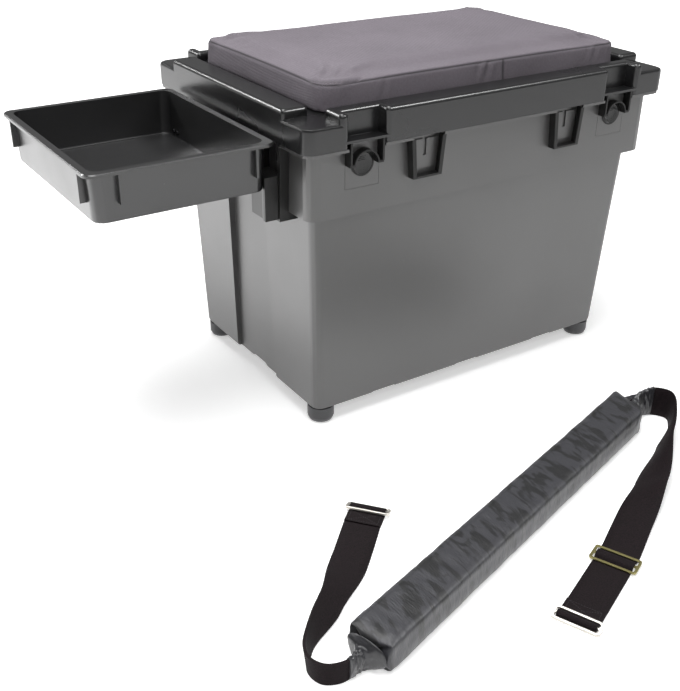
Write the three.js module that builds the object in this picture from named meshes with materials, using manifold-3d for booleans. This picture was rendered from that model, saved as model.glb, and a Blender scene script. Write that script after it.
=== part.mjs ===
import * as THREE from "three";
import { mergeVertices } from "three/addons/utils/BufferGeometryUtils.js";
import Module from "manifold-3d";

// A fishing seat box: a deep bin on four feet, a hinged lid with a seat cushion, two push-button latches,
// a side tray hung on the collar of the bin, and a carrying strap that lies on the ground in front.
// Lengths are in millimetres and angles in degrees. +Z is up, the latches face -Y and the tray is on the
// -X side.

// Driving dimensions
const clearance = 0.3;
const overrun = 6;
const weldDistance = 0.0001;
const cornerSteps = 4;
const smallSteps = 16;
const roundSteps = 24;
const arcSteps = 8;
const quarterTurn = 90;
const halfTurn = 2 * quarterTurn;

const bin = { length: 512, width: 334, height: 270, draft: 9, wall: 3, corner: 14, edgeRound: 4 };
const sidePanel = { topHalfWidth: 48, bottomHalfWidth: 55, topDepth: 9, bottomDepth: 6 };
const channel = { pitch: 141, halfWidth: 22, slope: 6, depth: 3, crossHalfWidth: 20 };
const foot = { radius: 17.5, height: 22, edgeRound: 7, spigotRadius: 6 };
const collar = { step: 13, height: 82.5, corner: 15, flangeThickness: 3, flangeSetback: 1 };

const lid = { overhang: 12, skirtHeight: 29, wall: 3.5, corner: 14, edgeRound: 4, seatGap: 0.5 };
const rail = {
  height: 11, width: 35, round: 5, roundSteps: 3, corner: 5.6, wall: 3, sideEndInset: 50, frontEndInset: 107,
};
const recess = { width: 50, depth: 18, shelfThickness: 3, shelfHeight: 6, postWidth: 12.5, edgeRound: 6 };
const lip = { gap: 1.2, depth: 8, wall: 2.5 };
const catchTongue = {
  width: 27, thickness: 2.5, length: 66, noseLength: 2.2, noseHeight: 4, noseGap: 17, swing: 2.6,
};

const latch = {
  width: 46, drop: 50.5, wall: 2.5, wallDepth: 11.5, wallDrop: 19.5, flange: 3, flangeThickness: 2,
  centreDrop: 22, holeRadius: 13.5, beadWidth: 2, beadHeight: 1.2, hoodInner: 15.7, hoodWall: 1.8,
  hoodDepth: 10.5, cupWall: 2, cupBottom: 1.5, cupDepth: 15,
};
const button = {
  proud: 2, thickness: 8, dish: 2.6, rimWidth: 2.2, edge: 0.8, stemRadius: 3.5, stemEnd: 3.2,
  grooveDepth: 0.9, travel: 3, ridges: 3, ridgeStart: 2.4, ridgeWidth: 9, ridgeHeight: 0.7, ridgePitch: 2,
};
const spring = { wire: 1.1, radius: 5.6, turns: 3, stepsPerTurn: 12, sides: 5 };
const clip = { radius: 6.5, thickness: 1.2 };

const hinge = {
  reach: 15, drop: 6, lugThickness: 4, lugRadius: 8, lugDrop: 27, pinRadius: 2.5, headRadius: 4,
  headLength: 1.5, knuckleRadius: 6.5, play: 1,
};

const frontSocket = { latchDistance: 87, topHalfWidth: 25, bottomHalfWidth: 21, length: 48.5, depth: 11 };
const sideSocket = { cornerDistance: 68, topHalfWidth: 25, bottomHalfWidth: 21, length: 90, depth: 12 };
const socket = {
  wall: 2.5, lipWidth: 3, lipThickness: 2.2, padHeight: 2, padMargin: 4, slitWidth: 4.5, slitLength: 24,
};

const cushion = {
  endGap: 8, sideGap: 4, corner: 26, band: 32, crown: 12, bandBulge: 3, sidePull: 4, bottomInset: 6,
  sideSteps: 8, crownSteps: 6, piping: 2, seamRound: 3,
};
const board = { thickness: 6, margin: 12 };
const boardScrew = {
  insetX: 60, insetY: 45, radius: 2, headRadius: 5, headHeight: 2.4, depth: 5, slack: 0.15,
};

const tray = {
  socketOverhang: 29, width: 222, depth: 58, rim: 7, draft: 2.5, corner: 14, wall: 2.4, floor: 2.6,
  rimCorner: 12, rimThickness: 2.2, rimSkirt: 4, rimSkirtWall: 1.8, floorRound: 3, boxGap: 17.5, topRise: 5,
};
const trayRib = { thickness: 3, drop: 33, cornerDistance: 29, frontOffset: 80, frontShift: 6 };
const bracket = { halfWidth: 19, top: 34.5, headTop: 36, wall: 2.6, screwInsets: [12, 1.5] };
const trayScrew = { radius: 1.9, headRadius: 3.2, headHeight: 1.8, length: 6, slack: 0.15 };

const pad = {
  length: 532, width: 52, thickness: 34, x: -167, y: -452, turn: 16.6, corner: 7, taper: 14, endWidth: 20,
  endHeight: 30, endSteps: 3,
};
const webbing = { width: 42, thickness: 1.8, seam: 26, stations: 40 };
const ring = { length: 52, width: 17, wire: 3.4, bar: 2.4, corner: 4, bevel: 1.1, bevelSteps: 2 };
const slider = {
  length: 52, width: 25, wire: 3, thickness: 2.4, corner: 3, bevel: 0.5, bevelSteps: 1, approach: 22,
};

// Where the webbing lies on the ground in front of the bin: points, the direction it runs in at each point,
// how far it stands up on its edge there, and how far it is folded together lengthwise
const leftRun = {
  points: [[-440, -534], [-460, -536], [-474, -524], [-475, -505], [-458, -484], [-412, -448], [-362, -402]],
  headings: [196.6, 190, 170, 112, 70, 47, 41, 41],
  tiltShares: [1, 1, 1, 1, 0.9, 0.45, 0.1, 0],
  widthShares: [0.5, 0.5, 0.5, 0.5, 0.55, 0.75, 1, 1],
  ring: { x: -290, y: -338.5, heading: 40 },
};
const rightRun = {
  points: [[128, -364], [155, -367], [165, -385], [148, -405], [100, -437], [25, -484], [-35, -513]],
  headings: [pad.turn, pad.turn, -20, -90, -130, -146, -151, -154],
  tiltShares: [1, 1, 1, 1, 1, 0.9, 0.5, 0.1],
  widthShares: [0.75, 0.9, 1, 1, 1, 1, 1, 1],
  slider: { x: -115.5, y: -551, heading: -156.3 },
  ring: { x: -216, y: -595, heading: -156.3 },
};

// Derived places, all measured in the frame of the bin: its centre on the ground
const binBottom = foot.height;
const collarBottom = binBottom + bin.height;
const collarTop = collarBottom + collar.height;
const flangeBottom = collarTop - collar.flangeThickness;
const collarHalfX = bin.length / 2 + collar.step;
const collarHalfY = bin.width / 2 + collar.step;
const lidHalfX = collarHalfX + lid.overhang;
const lidHalfY = collarHalfY + lid.overhang;
const skirtBottom = collarTop + lid.seatGap;
const seatLevel = skirtBottom + lid.skirtHeight;
const railTop = seatLevel + rail.height;
const railHalfX = lidHalfX - rail.frontEndInset;
const railHalfY = lidHalfY - rail.sideEndInset;
const latchX = railHalfX + recess.width / 2;
const frontSocketX = latchX - frontSocket.latchDistance;
const sideSocketY = collarHalfY - sideSocket.cornerDistance;
const cushionHalfX = lidHalfX - rail.width - cushion.endGap;
const cushionHalfY = lidHalfY - rail.width - cushion.sideGap;
const shelfBottom = skirtBottom + recess.shelfHeight;
const shelfTop = shelfBottom + recess.shelfThickness;
const buttonLevel = collarTop - latch.centreDrop;
const hingeY = collarHalfY + hinge.reach;
const hingeZ = skirtBottom - hinge.drop;

// Solids are joined and cut as closed triangle meshes
const wasm = await Module();
wasm.setup();

function solidFrom(geometry) {
  const bare = geometry.index ? geometry.toNonIndexed() : geometry.clone();
  bare.deleteAttribute("normal");
  bare.deleteAttribute("uv");
  const welded = mergeVertices(bare, weldDistance);
  const corners = welded.index.array;
  const faces = [];
  for (let i = 0; i < corners.length; i += 3) {
    const [a, b, c] = corners.slice(i, i + 3);
    if (a !== b && b !== c && c !== a) {
      faces.push(a, b, c);
    }
  }
  return new wasm.Manifold(
    new wasm.Mesh({
      numProp: 3,
      vertProperties: welded.attributes.position.array,
      triVerts: new Uint32Array(faces),
    }),
  );
}

function geometryFrom(solid) {
  const mesh = solid.getMesh();
  const geometry = new THREE.BufferGeometry();
  geometry.setAttribute("position", new THREE.BufferAttribute(new Float32Array(mesh.vertProperties), 3));
  geometry.setIndex(new THREE.BufferAttribute(new Uint32Array(mesh.triVerts), 1));
  return geometry;
}

function join(...geometries) {
  return geometryFrom(geometries.map(solidFrom).reduce((a, b) => a.add(b)));
}

function common(geometry, tool) {
  return geometryFrom(solidFrom(geometry).intersect(solidFrom(tool)));
}

function cut(geometry, ...tools) {
  return geometryFrom(tools.map(solidFrom).reduce((a, b) => a.subtract(b), solidFrom(geometry)));
}

function moved(geometry, x, y, z, turn = 0) {
  const copy = geometry.clone();
  copy.rotateZ(THREE.MathUtils.degToRad(turn));
  copy.translate(x, y, z);
  return copy;
}

// Basic forms. A range may be given in either order.
function box([x0, x1], [y0, y1], [z0, z1]) {
  const geometry = new THREE.BoxGeometry(Math.abs(x1 - x0), Math.abs(y1 - y0), Math.abs(z1 - z0));
  geometry.translate((x0 + x1) / 2, (y0 + y1) / 2, (z0 + z1) / 2);
  return geometry;
}

// A closed skin over convex rings that all have the same number of points, each ring counter-clockwise
// about the direction in which the rings follow one another
function loft(rings) {
  const count = rings[0].length;
  const last = (rings.length - 1) * count;
  const positions = rings.flat().flatMap((p) => [p.x, p.y, p.z]);
  const faces = [];
  for (let start = 0; start < last; start += count) {
    for (let i = 0; i < count; i++) {
      const a = start + i;
      const b = start + ((i + 1) % count);
      faces.push(a, b, b + count, a, b + count, a + count);
    }
  }
  for (let i = 1; i + 1 < count; i++) {
    faces.push(0, i + 1, i);
    faces.push(last, last + i, last + i + 1);
  }
  const geometry = new THREE.BufferGeometry();
  geometry.setAttribute("position", new THREE.Float32BufferAttribute(positions, 3));
  geometry.setIndex(faces);
  return geometry;
}

function roundedRing(halfX, halfY, corner, z, steps = cornerSteps) {
  const points = [];
  const quarters = [[1, 1], [-1, 1], [-1, -1], [1, -1]];
  quarters.forEach(([sideX, sideY], quarter) => {
    for (let i = 0; i <= steps; i++) {
      const angle = ((quarter + i / steps) * Math.PI) / 2;
      const x = sideX * (halfX - corner) + corner * Math.cos(angle);
      const y = sideY * (halfY - corner) + corner * Math.sin(angle);
      points.push(new THREE.Vector3(x, y, z));
    }
  });
  return points;
}

// A block between two rectangles, each given by its x range, y range and level
function wedgeBlock(low, high) {
  const ringOf = ({ x: [x0, x1], y: [y0, y1], z }) => [
    new THREE.Vector3(x0, y0, z),
    new THREE.Vector3(x1, y0, z),
    new THREE.Vector3(x1, y1, z),
    new THREE.Vector3(x0, y1, z),
  ];
  return loft([ringOf(low), ringOf(high)]);
}

function outline(points) {
  return new THREE.Shape(points.map(([u, v]) => new THREE.Vector2(u, v)));
}

function disc(u, v, radius) {
  const shape = new THREE.Shape();
  shape.absarc(u, v, radius, 0, 2 * Math.PI);
  return shape;
}

function prismZ(shape, z0, z1, steps = arcSteps) {
  const geometry = new THREE.ExtrudeGeometry(shape, {
    depth: z1 - z0,
    bevelEnabled: false,
    curveSegments: steps,
  });
  geometry.translate(0, 0, z0);
  return geometry;
}

// The shape lies in the XZ plane and is drawn out along Y
function prismY(shape, y0, y1, steps = arcSteps) {
  const geometry = prismZ(shape, 0, y1 - y0, steps);
  geometry.rotateX(Math.PI / 2);
  geometry.translate(0, y1, 0);
  return geometry;
}

// The shape lies in the YZ plane and is drawn out along X
function prismX(shape, x0, x1, steps = arcSteps) {
  const geometry = prismZ(shape, 0, x1 - x0, steps);
  const basis = new THREE.Matrix4().makeBasis(
    new THREE.Vector3(0, 1, 0),
    new THREE.Vector3(0, 0, 1),
    new THREE.Vector3(1, 0, 0),
  );
  geometry.applyMatrix4(basis);
  geometry.translate(x0, 0, 0);
  return geometry;
}

// A turned piece on the Z axis, from [radius, height] points that run upwards
function turned(profile, steps = roundSteps) {
  const points = profile.map(([radius, height]) => new THREE.Vector2(radius, height));
  const geometry = new THREE.LatheGeometry(points, steps);
  geometry.rotateX(Math.PI / 2);
  return geometry;
}

function cylinder(radius, z0, z1, steps = roundSteps) {
  return turned([[0, z0], [radius, z0], [radius, z1], [0, z1]], steps);
}

// The same piece turned to lie along Y, its low end towards the front
function alongY(geometry) {
  const copy = geometry.clone();
  copy.rotateX(-Math.PI / 2);
  return copy;
}

// Scene graph
const group = new THREE.Group();
const finishes = {
  box: { color: 0x5a5a5b, roughness: 0.5, metalness: 0 },
  lid: { color: 0x3c3e40, roughness: 0.35, metalness: 0 },
  tray: { color: 0x4a4a4c, roughness: 0.4, metalness: 0 },
  fabric: { color: 0x5f5a5f, roughness: 0.9, metalness: 0 },
  foot: { color: 0x2c2d2f, roughness: 0.7, metalness: 0 },
  wood: { color: 0xa8824f, roughness: 0.8, metalness: 0 },
  steel: { color: 0xb9bbbd, roughness: 0.35, metalness: 1 },
  satin: { color: 0x34343c, roughness: 0.45, metalness: 0 },
  webbing: { color: 0x2a2428, roughness: 0.95, metalness: 0 },
  brass: { color: 0x8b8458, roughness: 0.45, metalness: 0.8 },
};

function addPiece(name, geometry, finish, x = 0, y = 0, z = 0) {
  const closed = join(geometry);
  closed.computeVertexNormals();
  const mesh = new THREE.Mesh(closed, new THREE.MeshStandardMaterial(finishes[finish]));
  mesh.name = name;
  mesh.position.set(x, y, z);
  group.add(mesh);
}

// Accessory socket: a tapered frame that stands on the face of the collar, open at the top, whose front lips
// hold a dovetail. The face of the collar is at y = 0, outwards is -Y and the mouth is at z = 0.
function socketOutline(size, inset, bottomDrop, topDrop) {
  const narrowing = (size.topHalfWidth - size.bottomHalfWidth) / size.length;
  const low = size.topHalfWidth - narrowing * bottomDrop - inset;
  const high = size.topHalfWidth - narrowing * topDrop - inset;
  return outline([[-low, -bottomDrop], [low, -bottomDrop], [high, -topDrop], [-high, -topDrop]]);
}

function accessorySocket(size) {
  const floorDrop = size.length - socket.wall;
  const lipBack = -size.depth + socket.lipThickness;
  const mouthInset = socket.wall + socket.lipWidth;
  const body = prismY(socketOutline(size, 0, size.length, clearance), -size.depth, -clearance);
  const pocket = prismY(socketOutline(size, socket.wall, floorDrop, -overrun), lipBack, overrun);
  const front = -size.depth - overrun;
  const mouth = prismY(socketOutline(size, mouthInset, floorDrop, -overrun), front, lipBack / 2);
  return cut(body, pocket, mouth);
}

// The raised and slit pad on the face of the collar inside a socket
function socketPad(size) {
  const padInset = socket.wall + socket.padMargin;
  const padBottom = size.length - 2 * socket.wall - socket.padMargin;
  const padOutline = socketOutline(size, padInset, padBottom, socket.padMargin);
  const padForm = prismY(padOutline, -socket.padHeight, bin.wall / 2);
  const slitHalf = socket.slitWidth / 2;
  const slit = box([-slitHalf, slitHalf], [-socket.padHeight - overrun, 0], [-socket.slitLength, overrun]);
  return cut(padForm, slit);
}

// The side walls of a side socket reach below the collar and in to the body of the bin
function socketGussets() {
  const top = flangeBottom - collarBottom + clearance;
  const plates = [-1, 1].map((side) =>
    box(
      [side * (sideSocket.bottomHalfWidth - socket.wall), side * sideSocket.bottomHalfWidth],
      [-socket.padHeight, collar.step - clearance],
      [-sideSocket.length, -top],
    ),
  );
  return join(...plates);
}

// Clears the flange over the mouth of a socket
function socketMouth(size) {
  const half = size.topHalfWidth - socket.wall;
  const top = collar.flangeThickness + overrun;
  return box([-half, half], [-size.depth - overrun, -socket.padHeight], [0, top]);
}

function onCollar(geometry, side, offset) {
  const places = {
    front: [offset, -collarHalfY, 0],
    left: [-collarHalfX, offset, -quarterTurn],
    right: [collarHalfX, offset, quarterTurn],
  };
  const [x, y, turn] = places[side];
  return moved(geometry, x, y, flangeBottom, turn);
}

// Two sockets in front and two on each short side
function socketPlaces() {
  const front = [-1, 1].map((sign) => [
    sign < 0 ? "socket_front_left" : "socket_front_right", frontSocket, "front", sign * frontSocketX,
  ]);
  const sides = ["left", "right"].flatMap((face) =>
    [-1, 1].map((sign) => [
      `socket_${face}_${sign < 0 ? "front" : "rear"}`, sideSocket, face, sign * sideSocketY,
    ]),
  );
  return [...front, ...sides];
}

// Bin: a drafted body with a rounded bottom edge
function binBody(inset, low, high) {
  const round = bin.edgeRound;
  const easing = round * (1 - Math.SQRT1_2);
  const section = (z, pull) => {
    const inwards = inset + pull + (bin.draft * (collarBottom - z)) / bin.height;
    return roundedRing(bin.length / 2 - inwards, bin.width / 2 - inwards, bin.corner - inset - pull, z);
  };
  return loft([
    section(low, round),
    section(low + easing, easing),
    section(low + round, 0),
    section(high, 0),
  ]);
}

// Recessed panel in the middle of each short side, narrower and deeper towards the top
function sidePanelCutter(side, grow, low, high) {
  const section = (z) => {
    const share = (z - binBottom) / bin.height;
    const depth = THREE.MathUtils.lerp(sidePanel.bottomDepth, sidePanel.topDepth, share);
    const half = THREE.MathUtils.lerp(sidePanel.bottomHalfWidth, sidePanel.topHalfWidth, share) + grow;
    const face = bin.length / 2 - bin.draft * (1 - share) - depth - grow;
    const x = side > 0 ? [face, collarHalfX + overrun] : [-collarHalfX - overrun, -face];
    return { x, y: [-half, half], z };
  };
  return wedgeBlock(section(low), section(high));
}

// Shallow channels under the floor, three from front to back and one from side to side
function floorChannels(grow) {
  const depth = channel.depth + grow;
  const flare = (channel.slope * (overrun + depth)) / channel.depth;
  const groove = (x, halfWidth, halfLength) => {
    const high = halfWidth - channel.slope + grow;
    const low = high + flare;
    const z0 = binBottom - overrun;
    const z1 = binBottom + depth;
    const shape = outline([[x - low, z0], [x + low, z0], [x + high, z1], [x - high, z1]]);
    return prismY(shape, -halfLength, halfLength);
  };
  const grooves = [-1, 0, 1].map((i) => groove(i * channel.pitch, channel.halfWidth, collarHalfY));
  const cross = moved(groove(0, channel.crossHalfWidth, collarHalfX), 0, 0, 0, quarterTurn);
  return join(...grooves, cross);
}

function footPlaces() {
  const x = bin.length / 2 - bin.draft - foot.radius;
  const y = bin.width / 2 - bin.draft - foot.radius;
  return [
    ["foot_front_left", -x, -y],
    ["foot_front_right", x, -y],
    ["foot_rear_left", -x, y],
    ["foot_rear_right", x, y],
  ];
}

// One ear of a hinge on the back of the collar
function hingeLug(x0, x1) {
  const reach = hinge.lugRadius * Math.SQRT1_2;
  const root = collarHalfY - bin.wall / 2;
  const web = outline([
    [root, hingeZ - hinge.lugDrop],
    [collarHalfY + bin.wall, hingeZ - hinge.lugDrop],
    [hingeY + reach, hingeZ - reach],
    [hingeY, hingeZ + hinge.lugRadius / 2],
    [root, flangeBottom - clearance],
  ]);
  const body = join(prismX(web, x0, x1), prismX(disc(hingeY, hingeZ, hinge.lugRadius), x0, x1));
  return cut(body, prismX(disc(hingeY, hingeZ, hinge.pinRadius + clearance), x0 - overrun, x1 + overrun));
}

function makeBin() {
  const innerFloor = binBottom + bin.wall;
  const panels = (grow, high) =>
    [-1, 1].map((side) => sidePanelCutter(side, grow, binBottom - overrun, high));
  const outside = cut(
    binBody(0, binBottom, collarBottom),
    floorChannels(0),
    ...panels(0, collarBottom + overrun),
  );
  const inside = cut(
    binBody(bin.wall, innerFloor, collarBottom + bin.wall + overrun),
    floorChannels(bin.wall),
    ...panels(bin.wall, collarBottom + bin.wall),
  );
  const slab = (halfX, halfY, corner, z0, z1) =>
    loft([roundedRing(halfX, halfY, corner, z0), roundedRing(halfX, halfY, corner, z1)]);
  const band = slab(collarHalfX, collarHalfY, collar.corner, collarBottom, collarTop);
  const bandInside = slab(
    collarHalfX - bin.wall,
    collarHalfY - bin.wall,
    collar.corner - bin.wall,
    collarBottom + bin.wall,
    collarTop + overrun,
  );
  const flangeOut = lid.overhang - collar.flangeSetback;
  const flange = slab(
    collarHalfX + flangeOut,
    collarHalfY + flangeOut,
    lid.corner,
    flangeBottom,
    collarTop,
  );
  let shell = cut(join(outside, band, flange), inside, bandInside);

  // Behind each accessory socket the collar has a pad, and over it the flange is open
  const places = socketPlaces();
  const pads = places.map(([, size, face, offset]) => onCollar(socketPad(size), face, offset));
  const mouths = places.map(([, size, face, offset]) => onCollar(socketMouth(size), face, offset));
  shell = cut(join(shell, ...pads), ...mouths);

  // Windows that take the latch housings in front, and gaps in the flange over the latches and the hinges
  const windowHalf = latch.width / 2 + clearance;
  const gapHalf = recess.width / 2;
  const flangeEdge = lidHalfY + overrun;
  const flangeRange = [flangeBottom - overrun, collarTop + overrun];
  for (const x of [-latchX, latchX]) {
    shell = cut(
      shell,
      box(
        [x - windowHalf, x + windowHalf],
        [-flangeEdge, -collarHalfY + bin.wall + overrun],
        [collarTop - latch.drop - clearance, collarTop + overrun],
      ),
      box([x - gapHalf, x + gapHalf], [-flangeEdge, -collarHalfY], flangeRange),
      box([x - gapHalf, x + gapHalf], [collarHalfY, flangeEdge], flangeRange),
    );
    for (const sign of [-1, 1]) {
      const outer = x + (sign * latch.width) / 2;
      const inner = outer - sign * hinge.lugThickness;
      shell = join(shell, hingeLug(Math.min(outer, inner), Math.max(outer, inner)));
    }
  }

  const spigotHole = cylinder(
    foot.spigotRadius + clearance,
    binBottom - overrun,
    innerFloor + overrun,
    smallSteps,
  );
  return cut(shell, ...footPlaces().map(([, x, y]) => moved(spigotHole, x, y, 0)));
}

// The top of the collar, with its flange, parts from the bin just below the flange. The ears of the hinges
// reach past it and stay with the bin. The latches cut the rim in two: a short front length and the rest.
function splitAtFlange(whole) {
  const above = (gap) => {
    const slab = box([-lidHalfX, lidHalfX], [-lidHalfY, lidHalfY], [flangeBottom + gap, collarTop + overrun]);
    const ears = [-latchX, latchX].map((x) =>
      box(
        [x - recess.width / 2, x + recess.width / 2],
        [collarHalfY, lidHalfY + overrun],
        [flangeBottom - overrun, collarTop + 2 * overrun],
      ),
    );
    return cut(slab, ...ears);
  };
  const rim = common(whole, above(clearance / 2));
  const frontRange = [-lidHalfY - overrun, -collarHalfY + bin.wall + overrun];
  const frontBox = box([-latchX, latchX], frontRange, [flangeBottom, collarTop + overrun]);
  return { shell: cut(whole, above(-clearance / 2)), front: common(rim, frontBox), rest: cut(rim, frontBox) };
}

function makeFoot() {
  const top = foot.height - clearance;
  const spigotTop = foot.height + bin.wall;
  const round = foot.edgeRound;
  const easing = round * (1 - Math.SQRT1_2);
  return turned([
    [0, 0],
    [foot.radius - round, 0],
    [foot.radius - easing, easing],
    [foot.radius, round],
    [foot.radius, top],
    [foot.spigotRadius, top],
    [foot.spigotRadius, spigotTop],
    [0, spigotTop],
  ]);
}

// Latch housing, drawn with the face of the collar at y = 0 and the axis of the button at z = 0
function makeLatchHousing() {
  const half = latch.width / 2;
  const bottom = latch.centreDrop - latch.drop;
  const top = shelfBottom - clearance - buttonLevel;
  const wallBottom = latch.centreDrop - latch.wallDrop;
  const root = bin.wall / 2;
  const flangeFace = bin.wall + clearance;
  const flangeBack = flangeFace + latch.flangeThickness;
  const hoodOuter = latch.hoodInner + latch.hoodWall;
  const plate = box([-half, half], [0, bin.wall], [bottom, top]);
  const flange = box(
    [-half - latch.flange, half + latch.flange],
    [flangeFace, flangeBack],
    [bottom - latch.flange, latch.centreDrop - collar.flangeThickness],
  );
  const flangeTie = box([-half, half], [root, flangeBack], [bottom, 0]);
  const walls = [-1, 1].map((side) =>
    box([side * (half - latch.wall), side * half], [-latch.wallDepth, root], [wallBottom, top]),
  );
  const ledgeStart = latch.hoodInner + latch.hoodWall / 2;
  const ledges = [-1, 1].map((side) =>
    box([side * ledgeStart, side * half], [-latch.hoodDepth, root], [0, wallBottom]),
  );
  const arch = new THREE.Shape();
  arch.absarc(0, 0, hoodOuter, 0, Math.PI);
  arch.absarc(0, 0, latch.hoodInner, Math.PI, 0, true);
  const hood = prismY(arch, -latch.hoodDepth, root);
  const bead = alongY(cylinder(latch.holeRadius + latch.beadWidth, -latch.beadHeight, root));
  const cup = alongY(cylinder(latch.holeRadius + latch.cupWall, root, latch.cupDepth));
  const bore = alongY(cylinder(latch.holeRadius, -overrun, latch.cupDepth - latch.cupBottom));
  const stemHole = alongY(cylinder(button.stemRadius + clearance, 0, latch.cupDepth + overrun, smallSteps));
  return cut(join(plate, flange, flangeTie, ...walls, ...ledges, hood, bead, cup), bore, stemHole);
}

// Button: a dished cap with three short finger ridges and a grooved stem
function makeButton() {
  const radius = latch.holeRadius - clearance;
  const front = -button.proud;
  const back = front + button.thickness;
  const floor = front + button.dish;
  const dishRadius = radius - button.rimWidth - button.dish;
  const grooveRadius = button.stemRadius - button.grooveDepth;
  const grooveStart = latch.cupDepth + clearance / 2;
  const grooveEnd = grooveStart + clip.thickness + clearance;
  const stemEnd = latch.cupDepth + button.stemEnd;
  const body = turned([
    [0, floor],
    [dishRadius, floor],
    [radius - button.rimWidth, front],
    [radius - button.edge, front],
    [radius, front + button.edge],
    [radius, back],
    [button.stemRadius, back],
    [button.stemRadius, grooveStart],
    [grooveRadius, grooveStart],
    [grooveRadius, grooveEnd],
    [button.stemRadius, grooveEnd],
    [button.stemRadius, stemEnd],
    [0, stemEnd],
  ]);
  const ridges = [];
  for (let i = 0; i < button.ridges; i++) {
    const half = (button.ridgeWidth - i * button.ridgePitch) / 2;
    const level = button.ridgeStart + i * button.ridgePitch;
    const depths = [floor - button.ridgeHeight, floor + button.ridgeHeight];
    ridges.push(box([-half, half], depths, [level, level + button.ridgeHeight]));
  }
  return join(alongY(body), ...ridges);
}

// Open washer that snaps into the groove of the stem behind the cup
function makeClip() {
  const low = latch.cupDepth + clearance;
  const shape = disc(0, 0, clip.radius);
  const hole = new THREE.Path();
  hole.absarc(0, 0, button.stemRadius - button.grooveDepth + clearance, 0, 2 * Math.PI, true);
  shape.holes.push(hole);
  return prismY(shape, low, low + clip.thickness);
}

class Helix extends THREE.Curve {
  constructor(radius, start, end, turns) {
    super();
    Object.assign(this, { radius, start, end, turns });
  }

  getPoint(t, target = new THREE.Vector3()) {
    const angle = 2 * Math.PI * this.turns * t;
    const along = this.start + (this.end - this.start) * t;
    return target.set(this.radius * Math.cos(angle), along, this.radius * Math.sin(angle));
  }
}

function makeSpring() {
  const reach = spring.wire / 2 + clearance;
  const start = button.thickness - button.proud + reach;
  const end = latch.cupDepth - latch.cupBottom - reach;
  const wire = [];
  for (let i = 0; i < spring.sides; i++) {
    const angle = (2 * Math.PI * i) / spring.sides;
    wire.push([(spring.wire * Math.cos(angle)) / 2, (spring.wire * Math.sin(angle)) / 2]);
  }
  return new THREE.ExtrudeGeometry(outline(wire), {
    steps: spring.turns * spring.stepsPerTurn,
    extrudePath: new Helix(spring.radius, start, end, spring.turns),
  });
}

function makeHingePin() {
  const reach = latch.width / 2 + clearance;
  const end = reach + hinge.headLength;
  const middle = reach + hinge.headLength / 2;
  return join(
    prismX(disc(0, 0, hinge.pinRadius), -middle, middle),
    prismX(disc(0, 0, hinge.headRadius), -end, -reach),
    prismX(disc(0, 0, hinge.headRadius), reach, end),
  );
}

// A raised rail on the lid with its corners and top edges rounded
function railBlock([x0, x1], [y0, y1]) {
  const round = rail.round;
  const low = skirtBottom + lid.edgeRound;
  const plan = roundedRing((x1 - x0) / 2, (y1 - y0) / 2, rail.corner, 0);
  const geometry = new THREE.ExtrudeGeometry(outline(plan.map((p) => [p.x, p.y])), {
    depth: railTop - low - 2 * round,
    bevelThickness: round,
    bevelSize: round,
    bevelOffset: -round,
    bevelSegments: rail.roundSteps,
  });
  geometry.translate((x0 + x1) / 2, (y0 + y1) / 2, low + round);
  return geometry;
}

// The long rails step back behind the latches and the hinges and end in a narrow post
function longRail() {
  const outer = -lidHalfY;
  const inner = outer + rail.width;
  const long = railHalfX;
  const post = long + recess.width;
  const end = post + recess.postWidth;
  return join(
    railBlock([-long, long], [outer, inner]),
    railBlock([-end, end], [outer + recess.depth, inner]),
    railBlock([-end, -post], [outer, inner]),
    railBlock([post, end], [outer, inner]),
  );
}

function sideRail() {
  return railBlock([lidHalfX - rail.width, lidHalfX], [-railHalfY, railHalfY]);
}

// What is cleared from the lid over a latch: a notch whose two upright edges are rounded off
function notchCutter(z0, z1) {
  const half = recess.width / 2;
  const radius = recess.edgeRound;
  const face = -lidHalfY;
  const flares = [-1, 1].map((side) => {
    const points = [];
    for (let k = 0; k <= cornerSteps; k++) {
      const angle = (Math.PI * k) / (2 * cornerSteps);
      points.push([side * (half + radius * (1 - Math.cos(angle))), face + radius * (1 - Math.sin(angle))]);
    }
    const inside = side * (half - overrun);
    points.push([side * (half + radius), face - overrun]);
    points.push([inside, face - overrun], [inside, face + radius]);
    return prismZ(outline(points), z0, z1);
  });
  return join(box([-half, half], [face - overrun, face + recess.depth], [z0, z1]), ...flares);
}

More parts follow.
